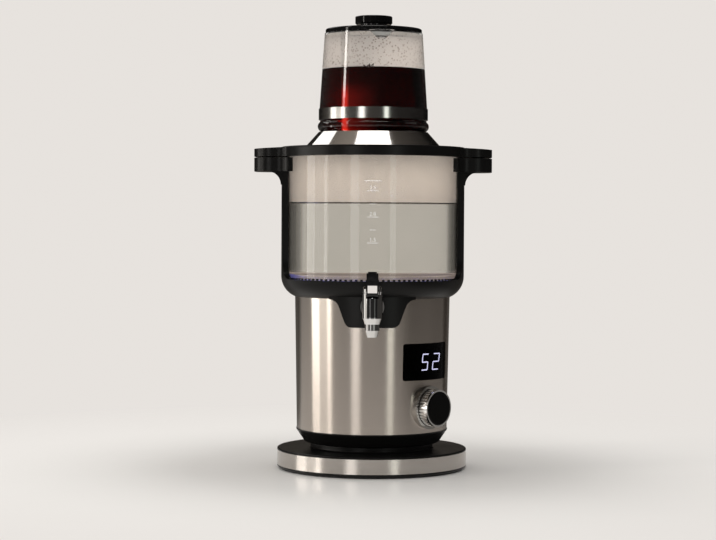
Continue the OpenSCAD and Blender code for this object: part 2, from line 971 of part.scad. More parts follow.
module hose_clips() {
    color(STEEL) {
        radial(0, z_tap) tube(hose_r + 1, hose_r + press, tail_y + 2, tail_y + 2 + clip_w);
        translate([0, -spigot_y, 0])
            tube(hose_r + 1, hose_r + press, z_tap + hose_bend + 0.5, z_tap + hose_bend + 0.5 + clip_w);
    }
}

// Controls

module display_window() {
    color("black") {
        intersection() {
            difference() {
                shell_solid(window_proud);
                shell_solid(-window_t, z_shell - cut, z_shell_top + cut);
            }
            window_prism(-press);
        }
        intersection() {
            difference() {
                shell_solid(-shell_t - press);
                shell_solid(-window_t, z_shell - cut, z_shell_top + cut);
            }
            window_prism(window_flange);
        }
    }
}

module display_module() {
    color("gainsboro")
        radial(control_azimuth, display_z)
            translate([-module_w / 2, -module_h / 2, u_board])
                cube([module_w, module_h, module_deep]);
}

module control_board() {
    color(BOARD)
        radial(control_azimuth, board_z0)
            translate([-board_w / 2, 0, u_board - board_t])
                cube([board_w, board_z1 - board_z0, board_t]);
}

module power_board() {
    color(BOARD)
        difference() {
            union() {
                translate([-power_w / 2, power_y - power_deep / 2, z_power])
                    cube([power_w, power_deep, board_t]);
                for (x = [-power_w * 0.34, power_w * 0.2])
                    translate([x, power_y + 2, z_power]) cube([9, 10, relay_h]);
            }
            at_posts() rod(screw_r, z_power - cut, z_power + board_t + cut);
        }
}

module encoder_housing() {
    color("silver")
        radial(control_azimuth, knob_z)
            difference() {
                union() {
                    translate([-housing_w / 2, -housing_w / 2, u_board])
                        cube([housing_w, housing_w, housing_deep]);
                    rod(bush_r, u_housing - cut, shell_at_knob);
                }
                rod(rotor_r + 0.3, u_board - cut, u_rotor + rotor_deep + 0.3);
                rod(shaft_r + 0.3, u_board, shell_at_knob + cut);
            }
}

module knob_bezel() {
    color(CHROME)
        difference() {
            radial(control_azimuth, knob_z) tube(bezel_r, knob_r + 0.6, shell_at_knob - 8, u_bezel);
            shell_solid(press / 2);
        }
}

module encoder_rotor() {
    color("black")
        radial(control_azimuth, knob_z) tube(rotor_r, shaft_r + run, u_rotor, u_rotor + rotor_deep);
}

module knob_shaft() {
    color(STEEL)
        radial(control_azimuth, knob_z) rod(shaft_r, u_shaft, u_knob_face - cap_t);
}

module knob_grip() {
    ribs = 36;
    rib_r = 0.8;
    color(CHROME)
        radial(control_azimuth, knob_z)
            difference() {
                rod(knob_r, u_knob, u_knob_face - 1);
                rod(cap_r + press, u_knob_face - cap_t, u_knob_face);
                rod(shaft_r + press, u_knob - cut, u_knob_face);
                for (i = [0:ribs - 1])
                    rotate([0, 0, i * 360 / ribs])
                        translate([knob_r + rib_r / 3, 0, 0]) rod(rib_r, u_knob - cut, u_knob_face - 3);
            }
}

module knob_cap() {
    edge = 1.2;
    color("black")
        radial(control_azimuth, knob_z)
            rotate_extrude()
                polygon(concat(
                    [[0, u_knob_face], [0, u_knob_face - cap_t], [cap_r, u_knob_face - cap_t]],
                    arc(cap_r - edge, u_knob_face - edge, edge, 0, 90)
                ));
}

// Tap

// Stands a shape on the axis of the tap barrel
module at_tap() {
    translate([0, -tap_y, 0]) children();
}

// Box across the tap, between two distances in front of the samovar axis
module tap_box(w, u0, u1, z0, z1) {
    translate([-w / 2, -u1, z0]) cube([w, u1 - u0, z1 - z0]);
}

// Rod along X at the lever pivot
module pivot_rod(r, w) {
    translate([-w / 2, -pivot_y, z_pivot]) rotate([0, 90, 0]) cylinder(r = r, h = w);
}

module tap_body() {
    shoulder = 3;
    u_inlay = tap_y + tap_r - inlay_deep;
    color(CHROME)
        difference() {
            union() {
                at_tap() {
                    rod(tap_r, z_barrel, z_barrel_top - shoulder);
                    translate([0, 0, z_barrel_top - shoulder])
                        cylinder(r1 = tap_r, r2 = tap_r - shoulder / 2, h = shoulder);
                    translate([0, 0, z_bevel]) cylinder(r1 = neck_r + 0.4, r2 = tap_r - 0.5, h = bevel_h);
                    rod(neck_r, z_neck, z_bevel + cut);
                    translate([0, 0, z_nozzle]) cylinder(r1 = nozzle_r, r2 = neck_r - 0.3, h = nozzle_h);
                }
                radial(0, z_tap) {
                    rod(shank_r, u_nut - nut_t - 2, tap_y);
                    rod(tail_r, tail_y, tap_y);
                    rod(flange_r, pad_y + gasket_t, pad_y + gasket_t + flange_t);
                }
            }
            at_tap() {
                rod(chamber_r, z_tap_seat, z_slot + cut);
                rod(nozzle_bore_d / 2, z_nozzle - cut, z_tap_seat + cut);
            }
            radial(0, z_tap) rod(shank_bore_r, tail_y - cut, tap_y);
            tap_box(slot_w, tap_y - tap_r - cut, tap_y + tap_r + cut, z_slot, z_barrel_top + cut);
            pivot_rod(pivot_r + press, 2 * tap_r);
            tap_box(inlay_w, u_inlay, tap_y + tap_r + cut, z_barrel + cut, z_slot + cut);
        }
}

module tap_bonnet() {
    color(BLACK)
        at_tap() tube(chamber_r - press, stem_r + run, z_bonnet, z_slot);
}

// Dark strip let into the front of the barrel below the lever
module tap_inlay() {
    u_inlay = tap_y + tap_r - inlay_deep;
    color("black")
        intersection() {
            at_tap() rod(tap_r, z_barrel, z_slot);
            tap_box(inlay_w - 2 * press, u_inlay + press, u_inlay + inlay_deep + cut, z_barrel + cut, z_slot);
        }
}

module tap_gasket() {
    color(RUBBER)
        radial(0, z_tap) tube(flange_r - 0.5, shank_r + press, pad_y, pad_y + gasket_t);
}

module tap_nut() {
    color(BRASS)
        radial(0, z_tap)
            difference() {
                translate([0, 0, u_nut - nut_t]) cylinder(r = nut_r, h = nut_t, $fn = 6);
                rod(shank_r + press, u_nut - nut_t - cut, u_nut + cut);
            }
}

module tap_pin() {
    color(STEEL) pivot_rod(pivot_r, slot_w + 4);
}

// Lever: a paddle on a round hub, with two fingers under the cross pin of the stem
module tap_lever() {
    lip = 1.5;
    slot = 2 * stem_r + 1;
    z_finger = z_pivot - finger_drop;
    color("black")
        difference() {
            union() {
                pivot_rod(lever_hub_r, lever_w);
                tap_box(lever_w, lever_front - lever_deep, lever_front - lip, z_pivot, z_lever_top - lip);
                tap_box(lever_w - 2 * lip, lever_front - lever_deep + lip, lever_front, z_pivot, z_lever_top);
                tap_box(lever_w, pivot_y - finger_reach, pivot_y, z_finger - finger_t, z_finger);
            }
            tap_box(slot, tap_y - finger_reach, pivot_y, z_slot, z_barrel_top);
            tap_box(lever_w + cut, tap_y - finger_reach, pivot_y - pivot_r - 0.7, z_finger, z_pivot + 6);
            pivot_rod(pivot_r + run, 2 * tap_r);
        }
}

// Small blank plate on the front of the lever
module lever_plate() {
    z0 = z_pivot + 0.3;
    color("lightgray") tap_box(plate_w, lever_front, lever_front + lever_plate_t, z0, z0 + lever_plate_h);
}

module tap_stem() {
    color(STEEL) {
        at_tap() {
            rod(stem_r, z_tap_seat + plug_h - 3, z_pivot + cross_pin_r + 0.5);
            translate([-cross_pin_w / 2, 0, z_pivot])
                rotate([0, 90, 0]) cylinder(r = cross_pin_r, h = cross_pin_w);
        }
    }
}

module tap_plug() {
    color(RUBBER)
        at_tap()
            difference() {
                rod(plug_r, z_tap_seat, z_tap_seat + plug_h);
                rod(stem_r + press, z_tap_seat + plug_h - 3, z_tap_seat + plug_h + cut);
            }
}

// Points of a ring of the spring wire, and the faces that join the rings into one tube
function coil_ring(i, steps, sides, z0, z1) =
    let (a = 360 * spring_turns * i / steps)
    let (z = z0 + spring_wire + (z1 - z0 - 2 * spring_wire) * i / steps)
    [for (k = [0:sides - 1]) let (b = 360 * k / sides, r = spring_r + spring_wire * cos(b))
        [r * cos(a), r * sin(a), z + spring_wire * sin(b)]];

module tap_spring() {
    sides = 6;
    steps = 12 * spring_turns;
    z0 = z_tap_seat + plug_h;
    points = [for (i = [0:steps]) each coil_ring(i, steps, sides, z0, z_bonnet)];
    walls = [
        for (i = [0:steps - 1], k = [0:sides - 1])
            let (a = i * sides + k, b = i * sides + (k + 1) % sides)
                each [[a, a + sides, b], [b, a + sides, b + sides]]
    ];
    ends = [
        [for (k = [0:sides - 1]) k],
        [for (k = [sides - 1:-1:0]) steps * sides + k]
    ];
    color(STEEL) at_tap() polyhedron(points, concat(walls, ends));
}

// Lid of the tank

module lid_cone() {
    low_r = cone_foot_r + cone_slope * (z_ring_top - z_insert);
    thick = cone_t * sqrt(1 + cone_slope * cone_slope);
    color(STEEL)
        rotate_extrude()
            polygon([
                [low_r - thick, z_insert], [low_r, z_insert], [cone_top_r, z_cone], [steam_r, z_cone],
                [steam_r, z_cone - cone_t], [cone_top_r + cone_slope * cone_t - thick, z_cone - cone_t]
            ]);
}

module lid_insert() {
    color(BLACK) {
        tube(lid_r, insert_r, z_mouth_ledge, z_insert);
        tube(insert_r + wall, insert_r, z_insert - lid_flange_t / 2, z_cone - cone_t);
    }
}

module lid_gasket() {
    out_r = mouth_r - mouth_ledge_w - part;
    color(SILICONE) tube(out_r, out_r - 4, z_mouth_ledge - lid_gasket_h, z_mouth_ledge);
}

// Teapot

// Outline of the glass, drawn in by an amount all round
module pot_section(inset, top) {
    bulge = pot_bulge_h - inset;
    polygon(concat(
        [[0, z_pot + inset]],
        arc(pot_bulge_r - pot_bulge_h, z_pot + pot_bulge_h, bulge, -90, 50),
        [
            [pot_r - 0.8 - inset, z_pot_band - 1], [pot_r - inset, z_pot_band],
            [pot_r - inset, z_pot_band_top], [pot_rim_r - inset, z_pot_rim],
            [pot_rim_r - inset, z_pot_rim + top], [0, z_pot_rim + top]
        ]
    ));
}

// Cone of the pouring lip
module pot_lip(inset, top) {
    half = lip_w / 2;
    at_azimuth(lip_azimuth)
        translate([0, -(pot_rim_r + lip_reach - half), z_pot_rim - lip_drop])
            cylinder(r1 = 2, r2 = half - inset + (half - 2) * top / lip_drop, h = lip_drop + top);
}

module teapot_glass() {
    color(GLASS)
        difference() {
            union() {
                rotate_extrude() pot_section(0, 0);
                pot_lip(0, 0);
            }
            rotate_extrude() pot_section(pot_wall, cut);
            pot_lip(pot_wall, cut);
        }
}

// Turns a shape to the back of the teapot, opposite the lip
module at_handle() {
    at_azimuth(lip_azimuth + 180) children();
}

module teapot_band() {
    color(STEEL)
        difference() {
            union() {
                rod(pot_band_r, z_pot_band, z_pot_band_top);
                at_handle()
                    translate([-tongue_t / 2, -pot_band_r - tongue_reach, z_pot_band + 1])
                        cube([tongue_t, tongue_reach + 2, pot_band_h - 2]);
            }
            rod(pot_r + press, z_pot_band - cut, z_pot_band_top + cut);
            handle_hole(screw_r + press);
        }
}

// Cross hole for the screw of the handle
module handle_hole(r) {
    at_handle()
        translate([-handle_w, -pot_band_r - tongue_reach / 2 - 1, z_pot_band + pot_band_h / 2])
            rotate([0, 90, 0]) cylinder(r = r, h = 2 * handle_w);
}

// Side view of the handle, with the distance from the axis across
module handle_outline() {
    u_out = handle_u + handle_deep;
    u_low = pot_band_r + part;
    z_arm = z_pot_band_top;
    inner = handle_round - 4;
    z_under = z_handle_top - handle_deep;
    difference() {
        polygon(concat(
            [[u_low, z_handle]],
            round_corner([u_low, z_handle], [u_out, z_handle], [u_out, z_handle_top], handle_round),
            round_corner([u_out, z_handle], [u_out, z_handle_top], [0, z_handle_top], handle_round),
            [[u_handle_top, z_handle_top], [u_low, z_arm]]
        ));
        polygon(concat(
            [[0, z_arm]],
            round_corner([u_low, z_arm], [handle_u, z_arm], [handle_u, z_handle_top], inner),
            round_corner([handle_u, z_arm], [handle_u, z_under], [0, z_under], inner),
            [[0, z_under]]
        ));
    }
}

module teapot_handle() {
    color(BLACK)
        difference() {
            at_handle()
                rotate([90, 0, -90])
                    linear_extrude(height = handle_w, center = true) handle_outline();
            at_handle()
                translate([-tongue_t / 2 - press, -pot_band_r - tongue_reach - press, z_pot_band - cut])
                    cube([tongue_t + 2 * press, tongue_reach + 2, pot_band_h + 2 * cut]);
            handle_hole(screw_r + press);
        }
}

module handle_screw() {
    color(STEEL)
        at_handle()
            translate([-handle_w / 2, -pot_band_r - tongue_reach / 2 - 1, z_pot_band + pot_band_h / 2])
                rotate([0, 90, 0]) {
                    rod(screw_r, 0, handle_w);
                    rod(screw_head_r, handle_w, handle_w + screw_head_h);
                }
}

// Lid of the teapot

module teapot_lid_disc() {
    edge = 1.5;
    z_rim = z_lid + lid_rim_h;
    color("black")
        rotate_extrude()
            polygon(concat(
                [
                    [0, z_lid - lid_plug_h], [lid_plug_r, z_lid - lid_plug_h],
                    [lid_plug_r, z_lid], [lid_rim_r, z_lid]
                ],
                arc(lid_rim_r - edge, z_rim - edge, edge, 0, 90),
                [[lid_neck_r + 3, z_dome], [lid_neck_r, z_dome], [lid_neck_r, z_lid_knob], [0, z_lid_knob]]
            ));
}

module teapot_lid_seal() {
    color(SILICONE)
        tube(lid_plug_r + press + lid_seal_w, lid_plug_r + press, z_lid - lid_plug_h + 1, z_lid - 1);
}

module teapot_lid_knob() {
    edge = 1;
    foot = 1.4;
    z_top = z_lid_knob + lid_knob_h;
    color("black")
        rotate_extrude()
            polygon(concat(
                [[0, z_lid_knob], [lid_knob_r - foot, z_lid_knob], [lid_knob_r, z_lid_knob + foot]],
                arc(lid_knob_r - edge, z_top - edge, edge, 0, 90),
                [[0, z_top]]
            ));
}

base_foot_ring();
base_tray();
base_band();
base_cover();
base_connector();
socket_contacts();
base_screws();
cord_gland();
body_connector();
connector_pins();
bottom_skirt();
bottom_screws();
tie_rods();
body_shell();
collar_frame();
top_ring();
ear_screws();
glass_tank();
tank_seal_lower();
tank_seal_upper();
light_ring();
heating_plate();
heat_spreader();
heating_element();
heater_leads();
thermal_cutout();
temperature_probe();
outlet_hose();
hose_clips();
display_window();
display_module();
control_board();
power_board();
encoder_housing();
knob_bezel();
tap_body();
tap_bonnet();
tap_inlay();
tap_gasket();
tap_nut();
tap_pin();
encoder_rotor();
knob_grip();
knob_cap();
knob_shaft();
tap_lever();
lever_plate();
tap_stem();
tap_plug();
tap_spring();
lid_cone();
lid_insert();
lid_gasket();
teapot_glass();
teapot_band();
teapot_handle();
handle_screw();
teapot_lid_disc();
teapot_lid_seal();
teapot_lid_knob();
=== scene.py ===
# %% [markdown]
# # An electric samovar, dressed in Blender
#
# A samovar keeps water hot in a glass tank and a small pot of strong tea on top of it.
# The hard pieces come from a solid model that is already at its true place and size, so this lesson
# adds what a solid model lacks: finishes, water, tea, steam on the glass, a lit display and light.
# Every object is in metres, the table is z = 0 and the tap points along -Y.

import math
import random

import bmesh
import bpy
from mathutils import Euler, Matrix, Vector


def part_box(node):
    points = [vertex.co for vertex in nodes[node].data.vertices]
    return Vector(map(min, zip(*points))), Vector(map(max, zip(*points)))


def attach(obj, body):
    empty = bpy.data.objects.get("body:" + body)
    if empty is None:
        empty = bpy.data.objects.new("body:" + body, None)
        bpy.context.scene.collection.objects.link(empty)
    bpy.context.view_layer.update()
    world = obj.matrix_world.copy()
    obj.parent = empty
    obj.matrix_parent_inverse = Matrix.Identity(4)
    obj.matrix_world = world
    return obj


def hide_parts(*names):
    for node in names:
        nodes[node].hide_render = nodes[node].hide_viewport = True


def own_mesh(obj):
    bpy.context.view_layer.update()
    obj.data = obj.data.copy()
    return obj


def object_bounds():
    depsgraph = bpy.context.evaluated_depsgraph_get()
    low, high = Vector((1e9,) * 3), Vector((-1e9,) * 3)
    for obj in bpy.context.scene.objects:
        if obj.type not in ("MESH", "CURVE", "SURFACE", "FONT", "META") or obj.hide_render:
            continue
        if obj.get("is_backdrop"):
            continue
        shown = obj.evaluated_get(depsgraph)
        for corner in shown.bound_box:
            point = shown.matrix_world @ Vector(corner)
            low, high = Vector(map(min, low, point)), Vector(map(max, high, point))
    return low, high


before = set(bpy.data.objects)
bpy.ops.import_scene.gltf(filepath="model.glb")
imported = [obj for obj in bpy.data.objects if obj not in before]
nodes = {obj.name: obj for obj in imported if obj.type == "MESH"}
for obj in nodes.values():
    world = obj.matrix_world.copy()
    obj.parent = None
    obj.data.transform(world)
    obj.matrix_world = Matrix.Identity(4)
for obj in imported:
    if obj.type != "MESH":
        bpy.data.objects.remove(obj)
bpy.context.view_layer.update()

# %% [markdown]
# ## Camera
#
# The camera of a product picture stands far back with a long lens, so that upright edges stay upright.
# A camera could be aimed with a constraint, but here its place is known: 2 m in front of the samovar,
# with its eye at the height where the tank is seen edge on. A small pitch, yaw and roll put the
# samovar where it stands in the picture. Angles are worked out from pixels of a 716 x 540 image.

# %% Place the camera
FRAME_WIDTH = 716
DISTANCE, EYE_HEIGHT = 2.0, 0.2525
FOCAL_PIXELS, DOWN_PIXELS, ACROSS_PIXELS = 2000.0, 55.0, 14.5
ROLL = math.radians(0.3)

camera_data = bpy.data.cameras.new("camera")
camera_data.sensor_width = 36.0
camera_data.lens = camera_data.sensor_width * FOCAL_PIXELS / FRAME_WIDTH
camera = bpy.data.objects.new("camera", camera_data)
bpy.context.scene.collection.objects.link(camera)
camera.location = (0.0, -DISTANCE, EYE_HEIGHT)
pitch = math.pi / 2 - math.atan2(DOWN_PIXELS, FOCAL_PIXELS)
yaw = math.atan2(ACROSS_PIXELS, FOCAL_PIXELS)
aimed = Euler((pitch, 0.0, yaw)).to_matrix() @ Matrix.Rotation(ROLL, 3, "Z")
camera.rotation_euler = aimed.to_euler()
bpy.context.scene.camera = camera
print("lens in mm:", round(camera_data.lens, 2))

# %% [markdown]
# ## Writing shader sums
#
# A finish is a small net of nodes. Nodes could be added and linked one by one, but a pattern such as
# "twice the noise, less a tenth" reads better as a sum. The class below wraps one socket, so that
# Python's own signs add the Math nodes. Its `node` method makes any other node: the type first, then
# the settings, then the values or links of the sockets.

# %% A socket that can be used in a sum
class Wire:
    def __init__(self, tree, socket=None):
        self.tree = tree
        self.socket = socket

    def node(self, kind, settings=None, sockets=None, out=0):
        made = self.tree.nodes.new(kind)
        for name, value in (settings or {}).items():
            if name == "stops":
                ramp = made.color_ramp.elements
                while len(ramp) < len(value):
                    ramp.new(0.5)
                for element, (place, shade) in zip(ramp, value):
                    element.position = place
                    element.color = (shade, shade, shade, 1.0)
            else:
                setattr(made, name, value)
        for name, value in (sockets or {}).items():
            self.feed(made.inputs[name], value)
        return Wire(self.tree, made.outputs[out])

    def feed(self, target, value):
        if isinstance(value, Wire):
            self.tree.links.new(value.socket, target)
        else:
            target.default_value = value

    def sum(self, operation, *values):
        return self.node("ShaderNodeMath", {"operation": operation}, dict(enumerate(values)))

    def __add__(self, other):
        return self.sum("ADD", self, other)

    def __radd__(self, other):
        return self.sum("ADD", other, self)

    def __sub__(self, other):
        return self.sum("SUBTRACT", self, other)

    def __rsub__(self, other):
        return self.sum("SUBTRACT", other, self)

    def __mul__(self, other):
        return self.sum("MULTIPLY", self, other)

    def __rmul__(self, other):
        return self.sum("MULTIPLY", other, self)

    def __truediv__(self, other):
        return self.sum("DIVIDE", self, other)

    def clamped(self):
        return self.node("ShaderNodeClamp", {}, {"Value": self})

    def at_least(self, edge):
        return self.sum("GREATER_THAN", self, edge)


print("sums ready")

# %% [markdown]
# A finish starts from Blender's Principled shader. The helper below makes one, sets the sockets that are
# the same all over, and hands back the material, its shader, and a wire with the place of each point on
# the object. Patterns could be laid on an unwrapped skin, but here they are drawn from that place, in
# metres. So they sit still when the camera moves and need no unwrapping.

# %% Start a finish
def new_finish(name, **sockets):
    material = bpy.data.materials.new(name)
    material.use_nodes = True
    tree = material.node_tree
    shader = tree.nodes["Principled BSDF"]
    for key, value in sockets.items():
        shader.inputs[key.replace("_", " ")].default_value = value
    place = Wire(tree).node("ShaderNodeTexCoord", out="Object")
    return material, shader, place


def stretched(place, x, y, z):
    """The place with each direction scaled, so that a pattern becomes streaks."""
    return place.node("ShaderNodeMapping", {}, {"Vector": place, "Scale": (x, y, z)})


def along(place, axis):
    """One coordinate of the place, in metres."""
    return place.node("ShaderNodeSeparateXYZ", {}, {"Vector": place}, out=axis)


def noise(place, scale, detail=2.0, roughness=0.5):
    return place.node("ShaderNodeTexNoise", {}, {
        "Vector": place, "Scale": scale, "Detail": detail, "Roughness": roughness,
    })


def steps(wire, *stops):
    """Maps a value through stops of (value, brightness)."""
    return wire.node("ShaderNodeValToRGB", {"stops": stops}, {"Fac": wire})


def blended(mask, first, second):
    """A colour between two by a mask. Each is a wire, or four numbers."""
    return mask.node("ShaderNodeMix", {"data_type": "RGBA"}, {"Factor": mask, 6: first, 7: second}, out=2)


def tint(mask, first, second):
    """A colour between two plain ones, by a mask."""
    return blended(mask, (*first, 1.0), (*second, 1.0))


def bump(shader, height, depth, strength=1.0):
    """Small relief on the surface, as deep as given, in metres."""
    made = height.node("ShaderNodeBump", {}, {"Height": height, "Distance": depth, "Strength": strength})
    height.feed(shader.inputs["Normal"], made)


def give(material, *names):
    for name in names:
        slots = nodes[name].data.materials
        slots.clear()
        slots.append(material)
    print(material.name, "on", len(names), "pieces")

# %% [markdown]
# ## Floor, backdrop and light
#
# Steel and glass have hardly any colour of their own: they show the room. A studio gives them a pale
# backdrop and a few soft boxes, and each box becomes an upright bright band on the round steel.
# The backdrop is the world. The camera sees it pale all over. A photographer also stands black cards beside
# a shiny object, because steel and glass look flat without a dark edge. So rays through glass see the
# backdrop pale only straight behind the samovar, and mirror rays see a dim, warm room, darkest at the
# samovar's own height and to its right. All other rays get an even light.

# %% World
BACKDROP = (0.80, 0.765, 0.73)
ROOM = (0.80, 0.70, 0.60)

world = bpy.data.worlds.new("studio")
world.use_nodes = True
bpy.context.scene.world = world
sky = Wire(world.node_tree)
seen = sky.node("ShaderNodeLightPath", out="Is Camera Ray")
mirrored = sky.node("ShaderNodeLightPath", out="Is Glossy Ray")
through = sky.node("ShaderNodeLightPath", out="Is Transmission Ray")
towards = sky.node("ShaderNodeTexCoord", out="Generated")
behind = along(towards, "Y") * 0.5 + 0.5
rightward = along(towards, "X")
upward = along(towards, "Z")
level = steps(upward * 0.5 + 0.5, (0.5, 0.05), (0.66, 0.07), (0.85, 0.16), (1.0, 0.40))
dark_corner = steps(behind, (0.80, 1.0), (0.88, 0.3))
dark_corner = dark_corner * steps(rightward * 0.5 + 0.5, (0.57, 1.0), (0.68, 0.35))
room = level * (0.8 - rightward * 0.35) * dark_corner + steps(behind, (0.985, 0.0), (1.0, 0.3))
reflected = sky.node("ShaderNodeVectorMath", {"operation": "SCALE"}, {0: ROOM, "Scale": room})
between_cards = steps(behind - rightward * 0.025, (0.50, 0.10), (0.84, 0.30), (0.885, 0.5), (0.91, 1.0))
refracted = sky.node("ShaderNodeVectorMath", {"operation": "SCALE"}, {0: BACKDROP, "Scale": between_cards})
bent = blended(through, reflected, refracted)
shown = blended(seen, bent, (*BACKDROP, 1.0))
even = sky.node("ShaderNodeBackground", {}, {"Color": (1.0, 0.98, 0.96, 1.0), "Strength": 0.78})
pale = sky.node("ShaderNodeBackground", {}, {"Color": shown, "Strength": 1.0})
mixed = sky.node("ShaderNodeMixShader", {}, {
    0: (seen + mirrored + through).clamped(), 1: even, 2: pale,
})
sky.feed(sky.tree.nodes["World Output"].inputs["Surface"], mixed)
bpy.context.scene.view_settings.view_transform = "Standard"
print("world nodes:", len(sky.tree.nodes))

# %% [markdown]
# Each soft box is an area light that faces the samovar. Its azimuth is measured round the samovar, to the
# right of the tap. A band on the steel lies at half that azimuth, because a mirror doubles the angle.
# The brightness given is that of the box's own surface, so the wattage follows from its size.

# %% Soft boxes
AIM = Vector((0.0, 0.0, 0.24))
DAYLIGHT, REVEAL_LIGHT = (1.0, 0.96, 0.90), (1.0, 0.95, 0.88)
GREENISH = (0.95, 1.0, 0.93)


def soft_box(name, azimuth, height, distance, wide, tall, brightness, colour=(1.0, 0.98, 0.95)):
    data = bpy.data.lights.new(name, "AREA")
    data.shape = "RECTANGLE"
    data.size, data.size_y = wide, tall
    data.energy = brightness * math.pi * wide * tall
    data.color = colour
    box = bpy.data.objects.new(name, data)
    bpy.context.scene.collection.objects.link(box)
    bearing = math.radians(azimuth)
    box.location = (math.sin(bearing) * distance, -math.cos(bearing) * distance, height)
    box.rotation_euler = (AIM - box.location).to_track_quat("-Z", "Y").to_euler()
    box.visible_camera = False
    box.visible_transmission = False
    return box


soft_box("window", -92, 0.20, 1.6, 0.42, 0.50, 4.4, DAYLIGHT)
soft_box("window_pane", -66, 0.95, 1.6, 0.17, 1.9, 4.2, DAYLIGHT)
soft_box("window_reveal", -74, 0.20, 1.8, 0.80, 0.50, 2.0, REVEAL_LIGHT)
soft_box("strip_left", -24, 0.30, 2.4, 0.50, 0.60, 3.1)
soft_box("strip_right", 27, 0.30, 2.4, 0.34, 0.60, 2.8, GREENISH)
soft_box("overhead", 180, 2.0, 0.1, 1.0, 0.7, 3.0)
soft_box("back_left", -135, 1.3, 1.3, 0.9, 0.7, 1.6)
soft_box("fill_right", 98, 1.3, 1.8, 0.9, 1.2, 0.30)

# %% [markdown]
# The floor is pale stone. It is one large disc, and its outer part fades into the colour of the backdrop, so
# that no horizon shows. The fade is only for the camera, and behind the samovar for rays through glass: the
# steel would mirror it as a second, glowing floor. A real table is narrow, and steel mirrors the dim room
# past its edge. So mirror rays see the floor part dimmed, and darkest at the back and far to the right.
# A soft gloss keeps a faint picture of the samovar in the stone. Further out the stone is rough, because
# at a low angle it would mirror the lamps.

# %% Floor
SHARP = math.radians(35)
MERGE_DISTANCE = 1e-7
FLOOR_RADIUS, FLOOR_DROP = 6.0, 0.0002


def finish_mesh(name, form, smooth=False):
    bmesh.ops.remove_doubles(form, verts=form.verts, dist=MERGE_DISTANCE)
    bmesh.ops.recalc_face_normals(form, faces=form.faces)
    for edge in form.edges:
        edge.smooth = edge.calc_face_angle(0.0) < SHARP
    if smooth:
        for face in form.faces:
            face.smooth = True
    mesh = bpy.data.meshes.new(name)
    form.to_mesh(mesh)
    form.free()
    piece = bpy.data.objects.new(name, mesh)
    bpy.context.scene.collection.objects.link(piece)
    return piece


form = bmesh.new()
bmesh.ops.create_circle(form, cap_ends=True, segments=96, radius=FLOOR_RADIUS)
floor = finish_mesh("floor", form)
stone, shader, place = new_finish("pale_stone", IOR=1.45, Specular_IOR_Level=0.3)
clouds = noise(place, 9.0, 4.0)
specks = steps(noise(place, 420.0, 1.0), (0.60, 0.0), (0.72, 1.0))
stone_colour = tint(clouds * 0.5 + specks * 0.1, (0.84, 0.83, 0.81), (0.78, 0.765, 0.745))
place.feed(shader.inputs["Base Color"], stone_colour)
reach = place.node("ShaderNodeVectorMath", {"operation": "LENGTH"}, {0: place}, out="Value")
place.feed(shader.inputs["Roughness"], clouds * 0.12 + steps(reach, (0.18, 0.25), (0.40, 0.75)))
backward = along(place, "Y")
direct = place.node("ShaderNodeLightPath", out="Is Camera Ray")
direct = direct + place.node("ShaderNodeLightPath", out="Is Transmission Ray") * backward.at_least(0.0)
fade = steps(reach, (0.22, 0.0), (0.66, 1.0)) * direct.clamped()
glow = place.node("ShaderNodeEmission", {}, {"Color": (*BACKDROP, 1.0)})
sideways = along(place, "X")
past_edge = steps(backward / reach * 0.5 + 0.5, (0.80, 0.38), (0.88, 0.92))
past_edge = past_edge + steps(sideways / reach * 0.5 + 0.5, (0.74, 0.0), (0.92, 0.45))
past_edge = past_edge.clamped() * steps(reach, (0.2, 0.0), (0.4, 1.0))
past_edge = past_edge * place.node("ShaderNodeLightPath", out="Is Glossy Ray")
dim = place.node("ShaderNodeEmission", {}, {"Color": (*ROOM, 1.0), "Strength": 0.08})
lit = Wire(stone.node_tree, shader.outputs[0])
lit = place.node("ShaderNodeMixShader", {}, {0: past_edge, 1: lit, 2: dim})
mixed = place.node("ShaderNodeMixShader", {}, {0: fade, 1: lit, 2: glow})
place.feed(stone.node_tree.nodes["Material Output"].inputs["Surface"], mixed)
floor.data.materials.append(stone)
floor.location.z = -FLOOR_DROP
floor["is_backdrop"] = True
print("floor across:", round(floor.dimensions.x, 2))

# %% [markdown]
# ## Brushed steel
#
# The shell and the band of the base are thin steel sheet, brushed round and round with a fine belt.
# The scratches run level, so each one smears what the steel mirrors up and down: that is why the soft
# boxes turn into upright bands. Scratches drawn as fine relief could give that smear, but it would need
# many more samples. So the anisotropy socket smears, turned by a quarter so that it does so upright, and
# the drawn scratches give the grain close up. Broad, weak clouds stop the sheet from looking computed.

# %% Brushed steel
def brushed_steel(name, dark, light, grain):
    material, shader, place = new_finish(name, Metallic=1.0, Anisotropic=0.95, Anisotropic_Rotation=0.25)
    scratches = noise(stretched(place, 5, 5, grain), 1.0, 3.0, 0.65)
    hairs = noise(stretched(place, 16, 16, grain * 3.1), 1.0, 1.0)
    clouds = noise(place, 16.0, 2.0)
    place.feed(shader.inputs["Base Color"], tint(scratches * 0.8 + clouds * 0.3 - 0.05, dark, light))
    place.feed(shader.inputs["Roughness"], scratches * 0.06 + clouds * 0.03 + 0.17)
    bump(shader, scratches + hairs * 0.5, 0.000018)
    return material


shell_steel = brushed_steel("brushed_shell_steel", (0.50, 0.445, 0.40), (0.60, 0.545, 0.495), 3600)
give(shell_steel, "body_shell")
band_steel = brushed_steel("brushed_band_steel", (0.54, 0.50, 0.465), (0.64, 0.60, 0.565), 3800)
give(band_steel, "base_band")

# %% [markdown]
# ## Polished steel and chrome
#
# The cone under the teapot and the teapot's band are polished, and the tap and the knob's ring are chrome
# plate. Both are mirrors. A perfect mirror looks like a drawing, so the roughness gets soft wiping marks
# and the polish a very shallow waviness, as any pressed and buffed sheet has.

